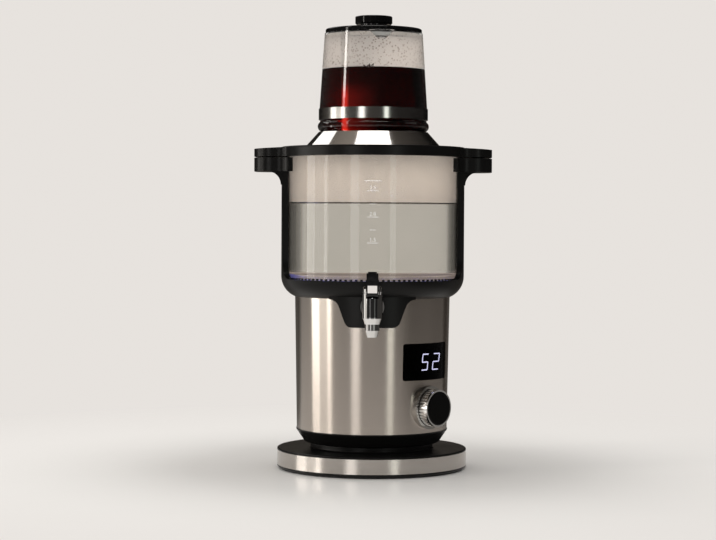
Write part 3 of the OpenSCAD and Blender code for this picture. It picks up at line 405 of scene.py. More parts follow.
# %% Polished steel and chrome
def polished(name, dark, light, gloss, wave):
    material, shader, place = new_finish(name, Metallic=1.0)
    wiped = noise(stretched(place, 60, 60, 22), 1.0, 4.0, 0.6)
    waves = noise(place, 38.0, 1.0)
    place.feed(shader.inputs["Base Color"], tint(wiped, dark, light))
    place.feed(shader.inputs["Roughness"], wiped * 0.07 + gloss)
    bump(shader, waves, wave)
    return material


cone_steel = polished("polished_cone_steel", (0.66, 0.645, 0.63), (0.75, 0.74, 0.725), 0.055, 0.00012)
give(cone_steel, "lid_cone")
band_polish = polished("polished_teapot_band", (0.44, 0.43, 0.41), (0.54, 0.53, 0.51), 0.14, 0.00006)
give(band_polish, "teapot_band", "knob_bezel")
tap_chrome = polished("tap_chrome", (0.78, 0.78, 0.80), (0.84, 0.84, 0.855), 0.015, 0.00004)
give(tap_chrome, "tap_bonnet", "tap_stem", "tap_pin")
knob_chrome = polished("knob_grip_chrome", (0.90, 0.90, 0.895), (0.95, 0.95, 0.945), 0.05, 0.00004)
give(knob_chrome, "knob_grip")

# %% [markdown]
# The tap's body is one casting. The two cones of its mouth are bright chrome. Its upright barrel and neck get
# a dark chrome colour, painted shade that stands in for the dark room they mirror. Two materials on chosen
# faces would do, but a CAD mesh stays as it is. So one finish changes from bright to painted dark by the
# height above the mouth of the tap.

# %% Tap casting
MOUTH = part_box("tap_body")[0].z
NOZZLE_TOP, NECK_TOP, BARREL_FOOT = 0.0065, 0.0125, 0.0180
casting, shader, place = new_finish("tap_casting_chrome", Metallic=1.0)
wiped = noise(stretched(place, 60, 60, 22), 1.0, 4.0, 0.6)
height = along(place, "Z") - MOUTH
neck = height.at_least(NOZZLE_TOP) - height.at_least(NECK_TOP)
dark = neck + height.at_least(BARREL_FOOT)
bright_chrome = tint(wiped, (0.90, 0.89, 0.88), (0.95, 0.94, 0.93))
# Painted shade: the barrel and neck get a dark chrome colour for the dark room they mirror.
painted_dark_chrome = tint(wiped, (0.17, 0.168, 0.165), (0.21, 0.208, 0.205))
place.feed(shader.inputs["Base Color"], blended(dark, bright_chrome, painted_dark_chrome))
place.feed(shader.inputs["Roughness"], wiped * 0.07 + 0.015)
bump(shader, noise(place, 38.0, 1.0), 0.00004)
give(casting, "tap_body")

# %% [markdown]
# ## Heating plate
#
# The floor of the tank is a pressed steel plate with the heater under it. Boiling water leaves it rippled
# and faintly stained in the colours of old limescale. Rings would be too regular, so two noises of
# different size make the ripple, and a third one tints it. The raised rim round the plate stands right
# over the light ring. Rays through two walls of glass are slow to trace, so the shine of the ring is painted
# on the rim as a glow of its own: pale, and blue at the far left, next to the nearest lamps.

# %% Heating plate
PLATE_TOP, RIM_RISE, RIM_INSIDE = 0.1873, 0.0063, 0.0772
SPAN = 10.0  # turns a way of 100 mm into 0 to 1
plate_steel, shader, place = new_finish("heated_plate_steel", Metallic=1.0, Emission_Strength=1.0)
stain = noise(place, 55.0, 5.0, 0.6)
ripple = noise(place, 150.0, 2.0) + noise(place, 420.0, 1.0) * 0.4
place.feed(shader.inputs["Base Color"], tint(stain, (0.78, 0.70, 0.66), (0.86, 0.83, 0.81)))
place.feed(shader.inputs["Roughness"], stain * 0.16 + 0.24)
bump(shader, ripple, 0.0006)
level_place = stretched(place, 1, 1, 0)
from_axis = place.node("ShaderNodeVectorMath", {"operation": "LENGTH"}, {0: level_place}, out="Value")
height = along(place, "Z")
# Painted highlight: the rim glows with the light of the ring under it, strongest at its foot and top edge.
up_rim = (height - PLATE_TOP) / RIM_RISE
shine = steps(up_rim, (0.05, 1.0), (0.35, 0.5), (0.75, 0.42), (1.0, 0.9)) * from_axis.at_least(RIM_INSIDE)
side = along(place, "X")
by_lamps = steps(side * SPAN + 1.0, (0.245, 1.0), (0.33, 0.0))
rim_glow_colour = tint(by_lamps, (0.42, 0.345, 0.31), (0.14, 0.14, 0.40))
painted_rim_glow = blended(shine * (stain * 0.6 + 0.7), (0.0, 0.0, 0.0, 1.0), rim_glow_colour)
place.feed(shader.inputs["Emission Color"], painted_rim_glow)
give(plate_steel, "heating_plate")

# %% [markdown]
# ## Black plastics
#
# The frame, the lid ring, the base and the handle are moulded in black plastic with a fine spark-eroded
# grain, and the lever and the teapot's lid are the same plastic with a high gloss. Black still needs light
# to be read, so the satin one has a soft sheen that varies, and the glossy one a trace of orange peel.
# The cap of the knob is the deepest black and hardly mirrors at all. One helper makes all of them, because
# they differ only in numbers.

# %% Satin and glossy plastic
def moulded(name, dark, light, gloss, spread, grain, depth, shine=0.5):
    material, shader, place = new_finish(name, IOR=1.5, Specular_IOR_Level=shine)
    skin = noise(place, grain, 2.0)
    handled = noise(place, 24.0, 3.0)
    place.feed(shader.inputs["Base Color"], tint(skin * 0.6 + handled * 0.4, dark, light))
    place.feed(shader.inputs["Roughness"], handled * spread + gloss)
    bump(shader, skin, depth)
    return material


satin_black = moulded(
    "satin_black_plastic", (0.0024, 0.0023, 0.0022), (0.0055, 0.0053, 0.005), 0.25, 0.12, 2400, 0.00003, 0.18,
)
give(
    satin_black, "base_tray", "base_cover", "base_connector", "body_connector", "bottom_skirt",
    "collar_frame", "top_ring", "lid_insert", "teapot_handle", "encoder_housing", "encoder_rotor", "tap_plug",
)
gloss_black = moulded(
    "gloss_black_plastic", (0.002, 0.002, 0.0022), (0.005, 0.005, 0.0053), 0.04, 0.05, 260, 0.00003, 0.42,
)
give(gloss_black, "tap_lever", "tap_inlay", "teapot_lid_disc", "teapot_lid_knob")
cap_black = moulded(
    "knob_cap_black", (0.001, 0.001, 0.001), (0.0022, 0.0022, 0.0022), 0.10, 0.06, 900, 0.00002, 0.1,
)
give(cap_black, "knob_cap")
pale_plate = moulded("pale_lever_plate", (0.80, 0.77, 0.75), (0.88, 0.85, 0.83), 0.24, 0.12, 900, 0.00002)
give(pale_plate, "lever_plate")

# %% [markdown]
# ## Glass
#
# The tank and the teapot are borosilicate glass. A see-through shader with a plain white would do, but
# real glass is a little green where it is thick, and its skin carries a few faint smears. The smears live
# in the roughness only, so that the glass stays clear. How much glass mirrors follows from how far it bends
# light, so the tank gets a low value, to keep the soft boxes faint in it. The teapot shows one strong white
# streak: there a strip of its upper wall has a clear coat, which mirrors the lamp on the left once more. The
# window of the display is smoked so dark that only the lit digits behind it come through, and hardly
# mirrors at all.

# %% Glass
POT_FOOT = 0.335


def clear_glass(name, colour, smear, light=(0.985, 0.99, 0.985), bend=1.47, coated_strip=()):
    material, shader, place = new_finish(name, Transmission_Weight=1.0, IOR=bend, Coat_IOR=2.0)
    wiped = steps(noise(stretched(place, 30, 30, 12), 1.0, 4.0), (0.50, 0.0), (0.75, 1.0))
    faint = noise(place, 20.0, 1.0)
    place.feed(shader.inputs["Base Color"], tint(faint, colour, light))
    place.feed(shader.inputs["Roughness"], wiped * smear)
    if coated_strip:
        across = along(place, "X") * SPAN + 0.5
        upper = steps((along(place, "Z") - POT_FOOT) * SPAN, (0.29, 0.0), (0.42, 1.0))
        place.feed(shader.inputs["Coat Weight"], steps(across, *coated_strip) * upper)
    return material


smoked_window = clear_glass(
    "smoked_display_window", (0.034, 0.034, 0.039), 0.0, (0.044, 0.044, 0.049), bend=1.10,
)
give(smoked_window, "display_window")
tank_glass = clear_glass("tank_glass", (0.955, 0.975, 0.965), 0.03, bend=1.33)
give(tank_glass, "glass_tank")
pot_glass = clear_glass(
    "teapot_glass", (0.965, 0.975, 0.97), 0.02,
    coated_strip=((0.17, 0.0), (0.19, 1.0), (0.25, 1.0), (0.27, 0.0)),
)
give(pot_glass, "teapot_glass")

# %% [markdown]
# ## Seals, rubber and hidden metal
#
# Inside are the pieces that only a repairer sees: silicone seals, rubber feet, zinc-plated screws, the
# aluminium spreader, the dark heater sheath, brass contacts and green boards. Each gets a finish of its
# own from one helper, with a mottled colour, an uneven gloss and a fine relief.

# %% Inner finishes
def mottled(name, dark, light, gloss, spread, grain, depth, metal=0.0):
    material, shader, place = new_finish(name, Metallic=metal)
    blotches = noise(place, grain * 0.1, 3.0)
    fine = noise(place, grain, 2.0)
    place.feed(shader.inputs["Base Color"], tint(blotches * 0.7 + fine * 0.3, dark, light))
    place.feed(shader.inputs["Roughness"], fine * spread + gloss)
    bump(shader, fine, depth)
    return material


give(mottled("milky_silicone", (0.72, 0.71, 0.69), (0.82, 0.81, 0.79), 0.42, 0.15, 900, 0.00003),
     "tank_seal_lower", "tank_seal_upper", "lid_gasket", "teapot_lid_seal", "tap_gasket", "outlet_hose")
give(mottled("black_rubber", (0.016, 0.016, 0.016), (0.035, 0.034, 0.033), 0.62, 0.25, 1300, 0.00006),
     "base_foot_ring", "cord_gland")
zinc_steel = mottled(
    "zinc_plated_steel", (0.50, 0.50, 0.51), (0.66, 0.66, 0.66), 0.22, 0.20, 1500, 0.00002, 1.0,
)
give(zinc_steel, "base_screws", "bottom_screws", "tie_rods", "ear_screws", "hose_clips", "tap_nut",
     "handle_screw", "knob_shaft", "tap_spring", "temperature_probe")
give(mottled("cast_aluminium", (0.58, 0.58, 0.59), (0.70, 0.70, 0.71), 0.38, 0.20, 800, 0.00006, 1.0),
     "heat_spreader")
give(mottled("heater_sheath", (0.17, 0.15, 0.14), (0.30, 0.27, 0.25), 0.40, 0.25, 700, 0.00004, 1.0),
     "heating_element")
give(mottled("lead_insulation", (0.40, 0.045, 0.03), (0.52, 0.08, 0.05), 0.40, 0.15, 900, 0.00003),
     "heater_leads")
give(mottled("cutout_ceramic", (0.55, 0.50, 0.43), (0.66, 0.61, 0.54), 0.50, 0.20, 900, 0.00004),
     "thermal_cutout")
give(mottled("contact_brass", (0.66, 0.46, 0.20), (0.80, 0.60, 0.31), 0.20, 0.16, 1200, 0.00002, 1.0),
     "socket_contacts", "connector_pins")
give(mottled("green_board", (0.02, 0.11, 0.05), (0.04, 0.17, 0.075), 0.30, 0.18, 700, 0.00005),
     "control_board", "power_board")
give(mottled("display_module_grey", (0.012, 0.012, 0.013), (0.022, 0.022, 0.023), 0.50, 0.20, 800, 0.00003),
     "display_module")

# %% [markdown]
# ## Light ring
#
# A ring of frosted plastic round the foot of the tank carries the blue light of a few small lamps. A lamp
# in each place could light it, but the ring itself may simply glow: a slow noise makes it stronger near
# the lamps, and more so on the left, where the nearest ones sit.

# %% Light ring
light_guide, shader, place = new_finish("blue_light_guide", Roughness=0.35, Emission_Strength=9.0)
lamps = noise(place, 26.0, 1.0)
side = along(place, "X")
lit = (lamps * 0.9 - side * 5.0 + 0.15).clamped()
place.feed(shader.inputs["Base Color"], tint(lamps, (0.42, 0.44, 0.66), (0.55, 0.56, 0.74)))
place.feed(shader.inputs["Emission Color"], tint(lit, (0.05, 0.05, 0.18), (0.20, 0.22, 1.0)))
bump(shader, noise(place, 1400.0, 1.0), 0.00003)
give(light_guide, "light_ring")
finishes = {name: piece.data.materials for name, piece in nodes.items()}
bare = [name for name, slots in finishes.items() if not slots or not slots[0].use_nodes]
print("pieces without a finish:", bare)

# %% [markdown]
# ## Turning a round piece
#
# Most of what is left to make is round: water, tea, films of steam. A turner draws half the outline and
# spins it about the axis, and bmesh has the same tool. The outline is a row of points in millimetres,
# radius first and height second. After a full spin the seam and the poles are merged, and the normals
# are worked out again, because a spin can leave a shape inside out. Edges sharper than 35 degrees stay
# sharp: smoothed over, they would bend the light all the way up a tall wall.

# %% Turn an outline
MM = 0.001


def turned(name, outline, steps_round=128, closed=False):
    form = bmesh.new()
    row = [form.verts.new((r * MM, 0.0, z * MM)) for r, z in outline]
    pairs = list(zip(row, row[1:]))
    if closed:
        pairs.append((row[-1], row[0]))
    for pair in pairs:
        form.edges.new(pair)
    bmesh.ops.spin(
        form, geom=form.verts[:] + form.edges[:], cent=(0, 0, 0), axis=(0, 0, 1), dvec=(0, 0, 0),
        angle=math.tau, steps=steps_round, use_merge=True, use_duplicate=False,
    )
    return finish_mesh(name, form, smooth=True)


def dress(piece, material, body):
    piece.data.materials.append(material)
    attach(piece, body)
    print(piece.name, "faces:", len(piece.data.polygons), "rides on", body)


def curve(x, y, r, start, end, count=6):
    """Points of an arc for an outline, in degrees."""
    angles = [math.radians(start + (end - start) * i / count) for i in range(count + 1)]
    return [(x + r * math.cos(a), y + r * math.sin(a)) for a in angles]


# %% [markdown]
# ## Water
#
# The tank is about two thirds full. The water stands on the heating plate and on both sides of the plate's
# rim, and climbs a little where it meets the glass. With air between the two the wall would mirror like a
# prism, so the water reaches a fraction of a millimetre into the glass and a hair's breadth into the steel.
# It then fills the tank from edge to edge as real water does. Water has almost no colour; its warm grey here
# is painted shade that dims the pale backdrop seen through it.

# %% Water in the tank
WATER_FOOT, WATER_TOP = 187.25, 263.5
RIM_IN, RIM_OUT, RIM_TOP, GROOVE_FOOT = 77.55, 78.65, 193.55, 189.1
TANK_IN = 80.3
WET = 0.3
water = turned("water", [
    (0.0, WATER_FOOT), (RIM_IN, WATER_FOOT), (RIM_IN, RIM_TOP), (RIM_OUT, RIM_TOP), (RIM_OUT, GROOVE_FOOT),
    (TANK_IN + WET, GROOVE_FOOT), (TANK_IN + WET, WATER_TOP + 1.3),
    *curve(TANK_IN - 2.8, WATER_TOP + 2.6, 2.7, -25, -90), (0.0, WATER_TOP),
])
still_water, shader, place = new_finish("still_water", Transmission_Weight=1.0, IOR=1.333, Roughness=0.0)
drift = noise(place, 14.0, 2.0)
# Painted shade: the warm grey dims what is seen through the water.
place.feed(shader.inputs["Base Color"], tint(drift, (0.60, 0.565, 0.515), (0.66, 0.625, 0.575)))
bump(shader, noise(stretched(place, 22, 22, 4), 1.0, 1.0), 0.0006)
dress(water, still_water, "samovar")

# %% [markdown]
# ## Steam on the tank's wall
#
# Above the water the glass is milky with fine condensation. A pale paint would look dirty there, because
# little light falls on it inside the tank. Mist does something else: it scatters the light that comes
# through. So it is a skin of its own, a fraction of a millimetre thick, made of rough clear water, with
# small drops where it is thickest and clear streaks where drops have run. Light that bounces many times
# from drop to drop is too much to trace, and a faint glow of the skin stands in for it.

# %% Mist finish
def mist_finish(name, mist, drop, thin, thick, drops_per_metre, glow):
    material, shader, place = new_finish(name, Transmission_Weight=0.9, IOR=1.12, Emission_Strength=glow)
    cloud = noise(place, 34.0, 4.0, 0.6)
    cells = place.node("ShaderNodeTexVoronoi", {"feature": "F1"}, {
        "Vector": place, "Scale": drops_per_metre,
    })
    bead = steps(cells, (0.24, 1.0), (0.36, 0.0)) * steps(cloud, (0.36, 0.35), (0.55, 1.0))
    runs = steps(noise(stretched(place, 260, 260, 22), 1.0, 2.0), (0.52, 0.0), (0.70, 1.0))
    beaded = tint(bead, mist, drop)
    place.feed(shader.inputs["Base Color"], beaded)
    place.feed(shader.inputs["Emission Color"], beaded)
    place.feed(shader.inputs["Roughness"], (cloud * (thick - thin) + thin - runs * 0.2).clamped())
    bump(shader, bead, 0.0002)
    return material


MIST_FOOT, TANK_MIST_TOP, MIST_IN = WATER_TOP + 1.6, 311.3, TANK_IN - 0.1
tank_mist = mist_finish("tank_mist", (0.92, 0.85, 0.79), (0.96, 0.91, 0.87), 0.50, 0.80, 520.0, 0.06)
mist = turned("tank_steam", [
    (TANK_IN + WET, MIST_FOOT), (TANK_IN + WET, TANK_MIST_TOP),
    (MIST_IN, TANK_MIST_TOP), (MIST_IN, MIST_FOOT),
], closed=True)
dress(mist, tank_mist, "samovar")

# %% [markdown]
# ## Tea
#
# The pot holds strong black tea. In thin layers tea is red, in thick ones nearly black. A dark red skin
# would look painted, so the liquid itself soaks up light: a Volume Absorption shader behind a clear
# surface, which leaves the red only where the way through is short. The tint of the surface fades upwards
# and from left to right, because the light that glows through the tea comes from low on the left. Where
# that lamp itself stands behind the tea, a narrow streak glows red. Tracing that light through glass would
# be noisy, so the streak is a faint glow of the surface.

# %% Tea in the teapot
TEA_FOOT, TEA_TOP = 337.2, 396.1
POT_IN, POT_SHOULDER, POT_LEAN = 51.5, 358.0, (53.7 - 48.8) / 75.0


def pot_in(z):
    """Inner radius of the teapot's upper wall at a height."""
    return POT_IN - (z - POT_SHOULDER) * POT_LEAN


tea = turned("tea", [
    (0.0, TEA_FOOT - WET), *curve(50.0, 340.5, 3.3 + WET, -90, 50), (50.7 + WET, 346.0),
    (POT_IN + WET, 347.0), (POT_IN + WET, POT_SHOULDER), (pot_in(TEA_TOP + 1.0) + WET, TEA_TOP + 1.0),
    *curve(pot_in(TEA_TOP) - 2.4, TEA_TOP + 2.0, 2.0, -25, -90), (0.0, TEA_TOP),
])

# %% Colour of the tea
black_tea, shader, place = new_finish(
    "black_tea", Transmission_Weight=1.0, IOR=1.335, Roughness=0.0, Emission_Strength=1.0,
)
across = along(place, "X") * SPAN + 0.5
up_pot = (along(place, "Z") - POT_FOOT) * SPAN
lamp_side = steps(
    across, (0.0, 0.0), (0.12, 0.08), (0.20, 0.7), (0.28, 0.9), (0.36, 0.45), (0.52, 0.12), (0.85, 0.02),
)
redness = lamp_side * steps(up_pot, (0.36, 1.0), (0.50, 0.2)) + noise(place, 18.0, 2.0) * 0.1
place.feed(shader.inputs["Base Color"], tint(redness, (0.03, 0.007, 0.005), (0.95, 0.20, 0.12)))
streak = steps(across, (0.19, 0.0), (0.21, 1.0), (0.235, 1.0), (0.265, 0.10), (0.45, 0.03), (0.55, 0.0))
streak = streak * steps(up_pot, (0.34, 1.0), (0.46, 0.12), (0.60, 0.0))
in_front = (0.0 - along(place, "Y")).at_least(0.0)
streak = streak * in_front
place.feed(shader.inputs["Emission Color"], tint(streak, (0.0, 0.0, 0.0), (0.55, 0.025, 0.016)))
bump(shader, noise(place, 30.0, 1.0), 0.0003)
soaks_up = place.node("ShaderNodeVolumeAbsorption", {}, {
    "Color": (0.72, 0.015, 0.006, 1.0), "Density": 100.0,
})
place.feed(black_tea.node_tree.nodes["Material Output"].inputs["Volume"], soaks_up)
dress(tea, black_tea, "teapot")

# %% [markdown]
# ## Tea leaves
#
# A few opened leaves float on the tea, and some stick to the glass just over it. Each starts as a six-sided
# disc, is drawn out and bent along its middle. It is then laid on the surface or stood against the wall,
# with the places drawn from a seeded number row so that every run gives the same leaves. Those on the wall
# reach into the glass as the tea does, or the steam would hide them.

# %% Floating leaves
SEED, LEAVES, LEAVES_ON_WALL, LEAF_THICK = 11, 64, 18, 0.15


def turn(form, verts, angle, axis):
    matrix = Matrix.Rotation(angle, 3, axis)
    bmesh.ops.rotate(form, verts=verts, cent=(0, 0, 0), matrix=matrix)


crumbs = random.Random(SEED)
form = bmesh.new()
for count in range(LEAVES):
    on_wall = count < LEAVES_ON_WALL
    size = crumbs.uniform(0.35, 0.7) if on_wall else crumbs.uniform(0.5, 1.2)
    verts = bmesh.ops.create_circle(form, cap_ends=True, segments=6, radius=size * MM)["verts"]
    bmesh.ops.scale(form, verts=verts, vec=(crumbs.uniform(1.2, 2.6), 1.0, 1.0))
    for vert in verts:
        vert.co.z += abs(vert.co.y) * (0.15 if on_wall else 0.5)
    turn(form, verts, crumbs.uniform(0, math.tau), "Z")
    above = min(crumbs.expovariate(0.9), 3.0) if on_wall else crumbs.uniform(0.15, 0.5)
    angle = crumbs.gauss(-0.10, 0.09) if on_wall else crumbs.uniform(0, math.tau)
    reach = pot_in(TEA_TOP + above) + WET if on_wall else crumbs.uniform(5.0, 43.0)
    if on_wall:
        turn(form, verts, math.pi / 2, "X")
        turn(form, verts, angle, "Z")
    bmesh.ops.translate(form, verts=verts, vec=(
        math.sin(angle) * reach * MM, -math.cos(angle) * reach * MM, (TEA_TOP + above) * MM,
    ))
bmesh.ops.solidify(form, geom=form.faces[:], thickness=LEAF_THICK * MM)
leaves = finish_mesh("tea_leaves", form)
leaf_brown, shader, place = new_finish("wet_tea_leaf", Roughness=0.3)
brown = tint(noise(place, 900.0, 2.0), (0.012, 0.006, 0.004), (0.05, 0.022, 0.012))
place.feed(shader.inputs["Base Color"], brown)
bump(shader, noise(place, 2600.0, 2.0), 0.0001)
dress(leaves, leaf_brown, "teapot")

# %% [markdown]
# ## Steam in the teapot
#
# Over the tea the pot is beaded with larger drops. The wall leans there and opens into a pouring lip, so a
# turned skin would not fit it. Instead the skin is taken off the glass itself: a copy of its mesh is cut at
# two heights, the faces that look inward are kept, moved a hair's breadth into the wall, and thickened.
# The pouring lip bulges out past the wall and stays clear.

# %% Mist and drops over the tea
POT_MIST_FOOT, POT_MIST_TOP = TEA_TOP + 1.6, 431.5
SKIN_SINK, SKIN_THICK, LIP_BULGE = 0.15, 0.25, 0.6
form = bmesh.new()
form.from_mesh(nodes["teapot_glass"].data)
bmesh.ops.remove_doubles(form, verts=form.verts, dist=1e-6)
for height, keeps_below in ((POT_MIST_FOOT, False), (POT_MIST_TOP, True)):
    bmesh.ops.bisect_plane(
        form, geom=form.verts[:] + form.edges[:] + form.faces[:],
        plane_co=(0, 0, height * MM), plane_no=(0, 0, 1),
        clear_outer=keeps_below, clear_inner=not keeps_below,
    )
form.normal_update()


def holds_mist(face):
    centre = face.calc_center_median()
    looks_in = face.normal.xy.dot(centre.xy) < -0.3 * centre.xy.length
    return looks_in and centre.xy.length < (pot_in(centre.z / MM) + LIP_BULGE) * MM


bmesh.ops.delete(form, geom=[face for face in form.faces if not holds_mist(face)], context="FACES")
form.normal_update()
for vert in form.verts:
    vert.co -= vert.normal * SKIN_SINK * MM
bmesh.ops.solidify(form, geom=form.faces[:], thickness=-SKIN_THICK * MM)
pot_mist = finish_mesh("teapot_steam", form, smooth=True)
# Painted shade: the drops here are coloured darker than the mist round them.
drops_finish = mist_finish("teapot_mist", (0.93, 0.88, 0.84), (0.48, 0.42, 0.38), 0.55, 0.95, 380.0, 0.10)
dress(pot_mist, drops_finish, "teapot")

# %% [markdown]
# ## Printed levels
#
# Short white lines and plain numbers on the front of the tank show how many litres are in it. They are
# printed flat on the real glass. Text becomes a mesh first, and each flat point is then rolled on to the
# tank's wall: its sideways place turns into an angle, and its thickness into a distance from the axis.

# %% Roll flat shapes on to a round wall
def rolled(form, radius, height):
    for vert in form.verts:
        x, y, proud = vert.co
        angle = x / radius
        out_to = radius + proud
        vert.co = (math.sin(angle) * out_to, -math.cos(angle) * out_to, height + y)


def thicken(form, depth):
    """Gives flat faces a thickness, towards the viewer."""
    made = bmesh.ops.extrude_face_region(form, geom=form.faces[:])
    moved = [item for item in made["geom"] if isinstance(item, bmesh.types.BMVert)]
    bmesh.ops.translate(form, verts=moved, vec=(0, 0, depth))


def add_bar(form, x, y, wide, tall):
    made = bmesh.ops.create_grid(form, x_segments=6, y_segments=1, size=0.5)
    bmesh.ops.scale(form, verts=made["verts"], vec=(wide, tall, 1.0))
    bmesh.ops.translate(form, verts=made["verts"], vec=(x, y, 0.0))


def add_number(form, words, x, y, size):
    written = bpy.data.curves.new("number", "FONT")
    written.body, written.size, written.align_x = words, size, "CENTER"
    holder = bpy.data.objects.new("number", written)
    bpy.context.scene.collection.objects.link(holder)
    flat = bpy.data.meshes.new_from_object(holder.evaluated_get(bpy.context.evaluated_depsgraph_get()))
    flat.transform(Matrix.Translation((x, y, 0.0)))
    form.from_mesh(flat)
    bpy.data.objects.remove(holder)
    bpy.data.curves.remove(written)
    bpy.data.meshes.remove(flat)


# %% Level marks
LITRES = ((225.7, "1.5"), (250.6, "2.0"), (275.8, "2.5"))
HALF_WAYS, HIGHEST = (238.2, 263.2), 285.4
LOWEST = LITRES[0][0]
NUMBER_SIZE, NUMBER_LIFT, PRINT_THICK, PRINT_RADIUS = 5.2, 1.3, 0.05, 83.53
form = bmesh.new()
for level, litres in LITRES:
    add_bar(form, 0.0, (level - LOWEST) * MM, 11 * MM, 0.55 * MM)
    add_number(form, litres, 0.0, (level + NUMBER_LIFT - LOWEST) * MM, NUMBER_SIZE * MM)
add_bar(form, 0.0, (HIGHEST - LOWEST) * MM, 16 * MM, 0.7 * MM)
for half_way in HALF_WAYS:
    add_bar(form, 0.0, (half_way - LOWEST) * MM, 6 * MM, 0.45 * MM)
thicken(form, PRINT_THICK * MM)
rolled(form, PRINT_RADIUS * MM, LOWEST * MM)
marks = finish_mesh("level_marks", form)
# The white print is real; its faint glow is painted light, so that it reads pale over the mist.
glowing_white_print, shader, place = new_finish("glowing_white_print", Roughness=0.5, Emission_Strength=0.25)
worn = steps(noise(place, 900.0, 2.0), (0.35, 0.32), (0.6, 0.55))
white = tint(noise(place, 300.0, 2.0), (0.80, 0.79, 0.77), (0.88, 0.87, 0.86))
place.feed(shader.inputs["Base Color"], white)
place.feed(shader.inputs["Emission Color"], white)
place.feed(shader.inputs["Alpha"], worn)
dress(marks, glowing_white_print, "samovar")

# %% [markdown]
# ## Lit digits
#
# The display shows the water's temperature in slanted bars of bluish white light, a little way behind its
# smoked window. One bar is a six-sided disc pulled apart along its length, so that its ends stay pointed.
# Seven of them make an eight, and a digit lights some of the seven. The unlit ones are there too, hardly
# visible in the dark, as they are on the real display. All of them lie flat on the front of the module,
# which faces out of the body at an angle to the right of the tap.

# %% Bars of a digit
BARS = {
    "a": (0.0, 1.0, True), "g": (0.0, 0.0, True), "d": (0.0, -1.0, True),
    "f": (-1.0, 0.5, False), "b": (1.0, 0.5, False), "e": (-1.0, -0.5, False), "c": (1.0, -0.5, False),
}
DIGIT_WIDE, DIGIT_TALL, BAR_THICK = 9.4 * MM, 16.6 * MM, 1.25 * MM
MODULE_TURN, MODULE_FRONT, DIGIT_HEIGHT = math.radians(47), 67.97 * MM, 108.9 * MM
SLANT = math.tan(math.radians(8))
TENS, ONES, HUNDREDS = 3.0, 18.7, -12.7


def add_bars(form, letters):
    half_wide, half_tall = (DIGIT_WIDE - BAR_THICK) / 2, (DIGIT_TALL - BAR_THICK) / 2
    for letter in letters:
        x, y, level = BARS[letter]
        long = (2 * half_wide if level else half_tall) - BAR_THICK * 0.35
        made = bmesh.ops.create_circle(form, cap_ends=True, segments=6, radius=BAR_THICK / 2)
        for vert in made["verts"]:
            vert.co.y += math.copysign(long / 2 - BAR_THICK / 4, vert.co.y)
        if level:
            turn(form, made["verts"], math.pi / 2, "Z")
        bmesh.ops.translate(form, verts=made["verts"], vec=(x * half_wide, y * half_tall, 0.0))
    for vert in form.verts:
        vert.co.x += vert.co.y * SLANT


def digit(name, letters, sideways, material):
    form = bmesh.new()
    add_bars(form, letters)
    thicken(form, PRINT_THICK * MM)
    upright = Matrix.Rotation(MODULE_TURN, 4, "Z") @ Matrix.Rotation(math.pi / 2, 4, "X")
    shift = Matrix.Translation((sideways * MM, DIGIT_HEIGHT, MODULE_FRONT))
    bmesh.ops.transform(form, matrix=upright @ shift, verts=form.verts)
    dress(finish_mesh(name, form), material, "samovar")


# %% Light the digits
lit_bar, shader, place = new_finish("lit_display_bar", Roughness=0.4, Emission_Strength=24.0)
uneven = noise(place, 420.0, 1.0)
place.feed(shader.inputs["Emission Color"], tint(uneven, (0.70, 0.70, 0.92), (0.86, 0.86, 1.0)))
place.feed(shader.inputs["Base Color"], tint(uneven, (0.60, 0.62, 0.80), (0.75, 0.76, 0.90)))
dark_bar, shader, place = new_finish("unlit_display_bar", Roughness=0.3)
uneven = noise(place, 900.0, 1.0)
place.feed(shader.inputs["Base Color"], tint(uneven, (0.10, 0.10, 0.11), (0.16, 0.16, 0.17)))
digit("digit_tens", "afgcd", TENS, lit_bar)
digit("digit_ones", "abged", ONES, lit_bar)
digit("digit_tens_unlit", "be", TENS, dark_bar)
digit("digit_ones_unlit", "fc", ONES, dark_bar)
digit("digit_hundreds_unlit", "abcdefg", HUNDREDS, dark_bar)

# %% [markdown]
# ## Teeth round the foot of the tank
#
# The upper lip of the frame carries a ring of small teeth that keeps the glass centred and lets the blue
# light out between them. One tooth is a cube with its edges bevelled. Spin copies it round the axis, and
# the copies that would stand inside the two arms are deleted.

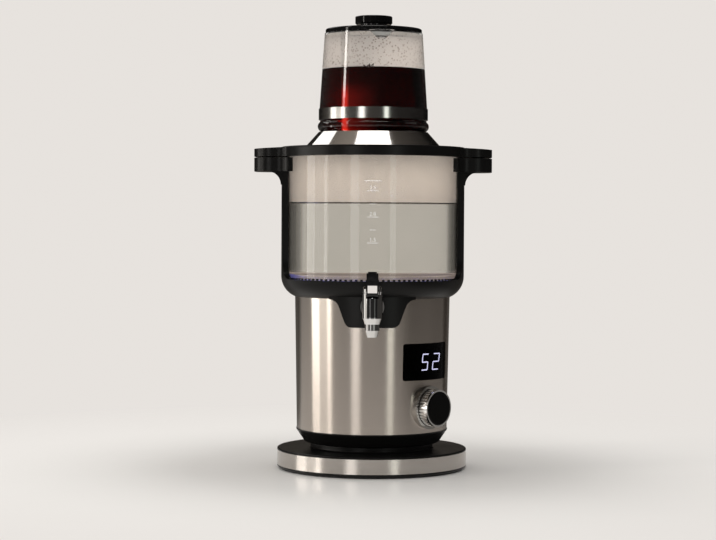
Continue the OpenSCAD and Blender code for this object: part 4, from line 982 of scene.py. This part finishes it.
# %% Ring of teeth
TEETH = 105
TOOTH_SIZE, TOOTH_BEVEL = Vector((2.5, 1.6, 1.9)) * MM, 0.3 * MM
TEETH_RADIUS, TEETH_HEIGHT, ARM_HALF = 87.2 * MM, 189.6 * MM, 21.5 * MM
form = bmesh.new()
bmesh.ops.create_cube(form, size=1.0)
bmesh.ops.scale(form, verts=form.verts, vec=TOOTH_SIZE)
bmesh.ops.bevel(
    form, geom=form.edges[:], offset=TOOTH_BEVEL, offset_type="OFFSET",
    affect="EDGES", segments=1, profile=0.5, material=-1,
)
bmesh.ops.translate(form, verts=form.verts, vec=(0.0, -TEETH_RADIUS, TEETH_HEIGHT))
bmesh.ops.spin(
    form, geom=form.verts[:] + form.edges[:] + form.faces[:],
    cent=(0, 0, 0), axis=(0, 0, 1), dvec=(0, 0, 0),
    angle=math.tau * (TEETH - 1) / TEETH, steps=TEETH - 1, use_merge=False, use_duplicate=True,
)
in_arms = [vert for vert in form.verts if abs(vert.co.y) < ARM_HALF]
bmesh.ops.delete(form, geom=in_arms, context="VERTS")
teeth = finish_mesh("frame_teeth", form)
dress(teeth, satin_black, "samovar")

# %% [markdown]
# ## Valve spring
#
# A small coil of wire inside the tap presses the valve shut. Its upper end rests against the bonnet, so the
# coil gets shorter when the lever lifts the valve. A solid can only move as a whole and would run into the
# bonnet. So the coil is drawn again: one ring of wire is spun about the axis and raised at each step.

# %% Coil over the valve
COIL_WIRE, COIL_TURNS, COIL_STEPS = 0.35 * MM, 4, 24
low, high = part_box("tap_spring")
middle = (low + high) / 2
form = bmesh.new()
bmesh.ops.create_circle(form, segments=12, radius=COIL_WIRE)
turn(form, form.verts, math.pi / 2, "X")
bmesh.ops.translate(form, verts=form.verts, vec=((high.x - low.x) / 2 - COIL_WIRE, 0.0, 0.0))
bmesh.ops.spin(
    form, geom=form.verts[:] + form.edges[:], cent=(0, 0, 0), axis=(0, 0, 1),
    dvec=(0, 0, (high.z - low.z - 2 * COIL_WIRE) / (COIL_TURNS * COIL_STEPS)),
    angle=math.tau * COIL_TURNS, steps=COIL_TURNS * COIL_STEPS, use_merge=False, use_duplicate=False,
)
bmesh.ops.holes_fill(form, edges=[edge for edge in form.edges if edge.is_boundary])
bmesh.ops.translate(form, verts=form.verts, vec=(middle.x, middle.y, low.z + COIL_WIRE))
coil = finish_mesh("valve_coil", form, smooth=True)
dress(coil, zinc_steel, "samovar")
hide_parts("tap_spring")
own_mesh(coil)
print("coil box:", [round(v / MM, 2) for v in coil.dimensions])
print("solid box:", [round(v / MM, 2) for v in high - low])

# %% [markdown]
# ## Measure and finish
#
# The dressed samovar must not have grown; its size is printed here.

# %% Sizes
low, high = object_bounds()
print("dressed size:", [round(v, 4) for v in high - low])
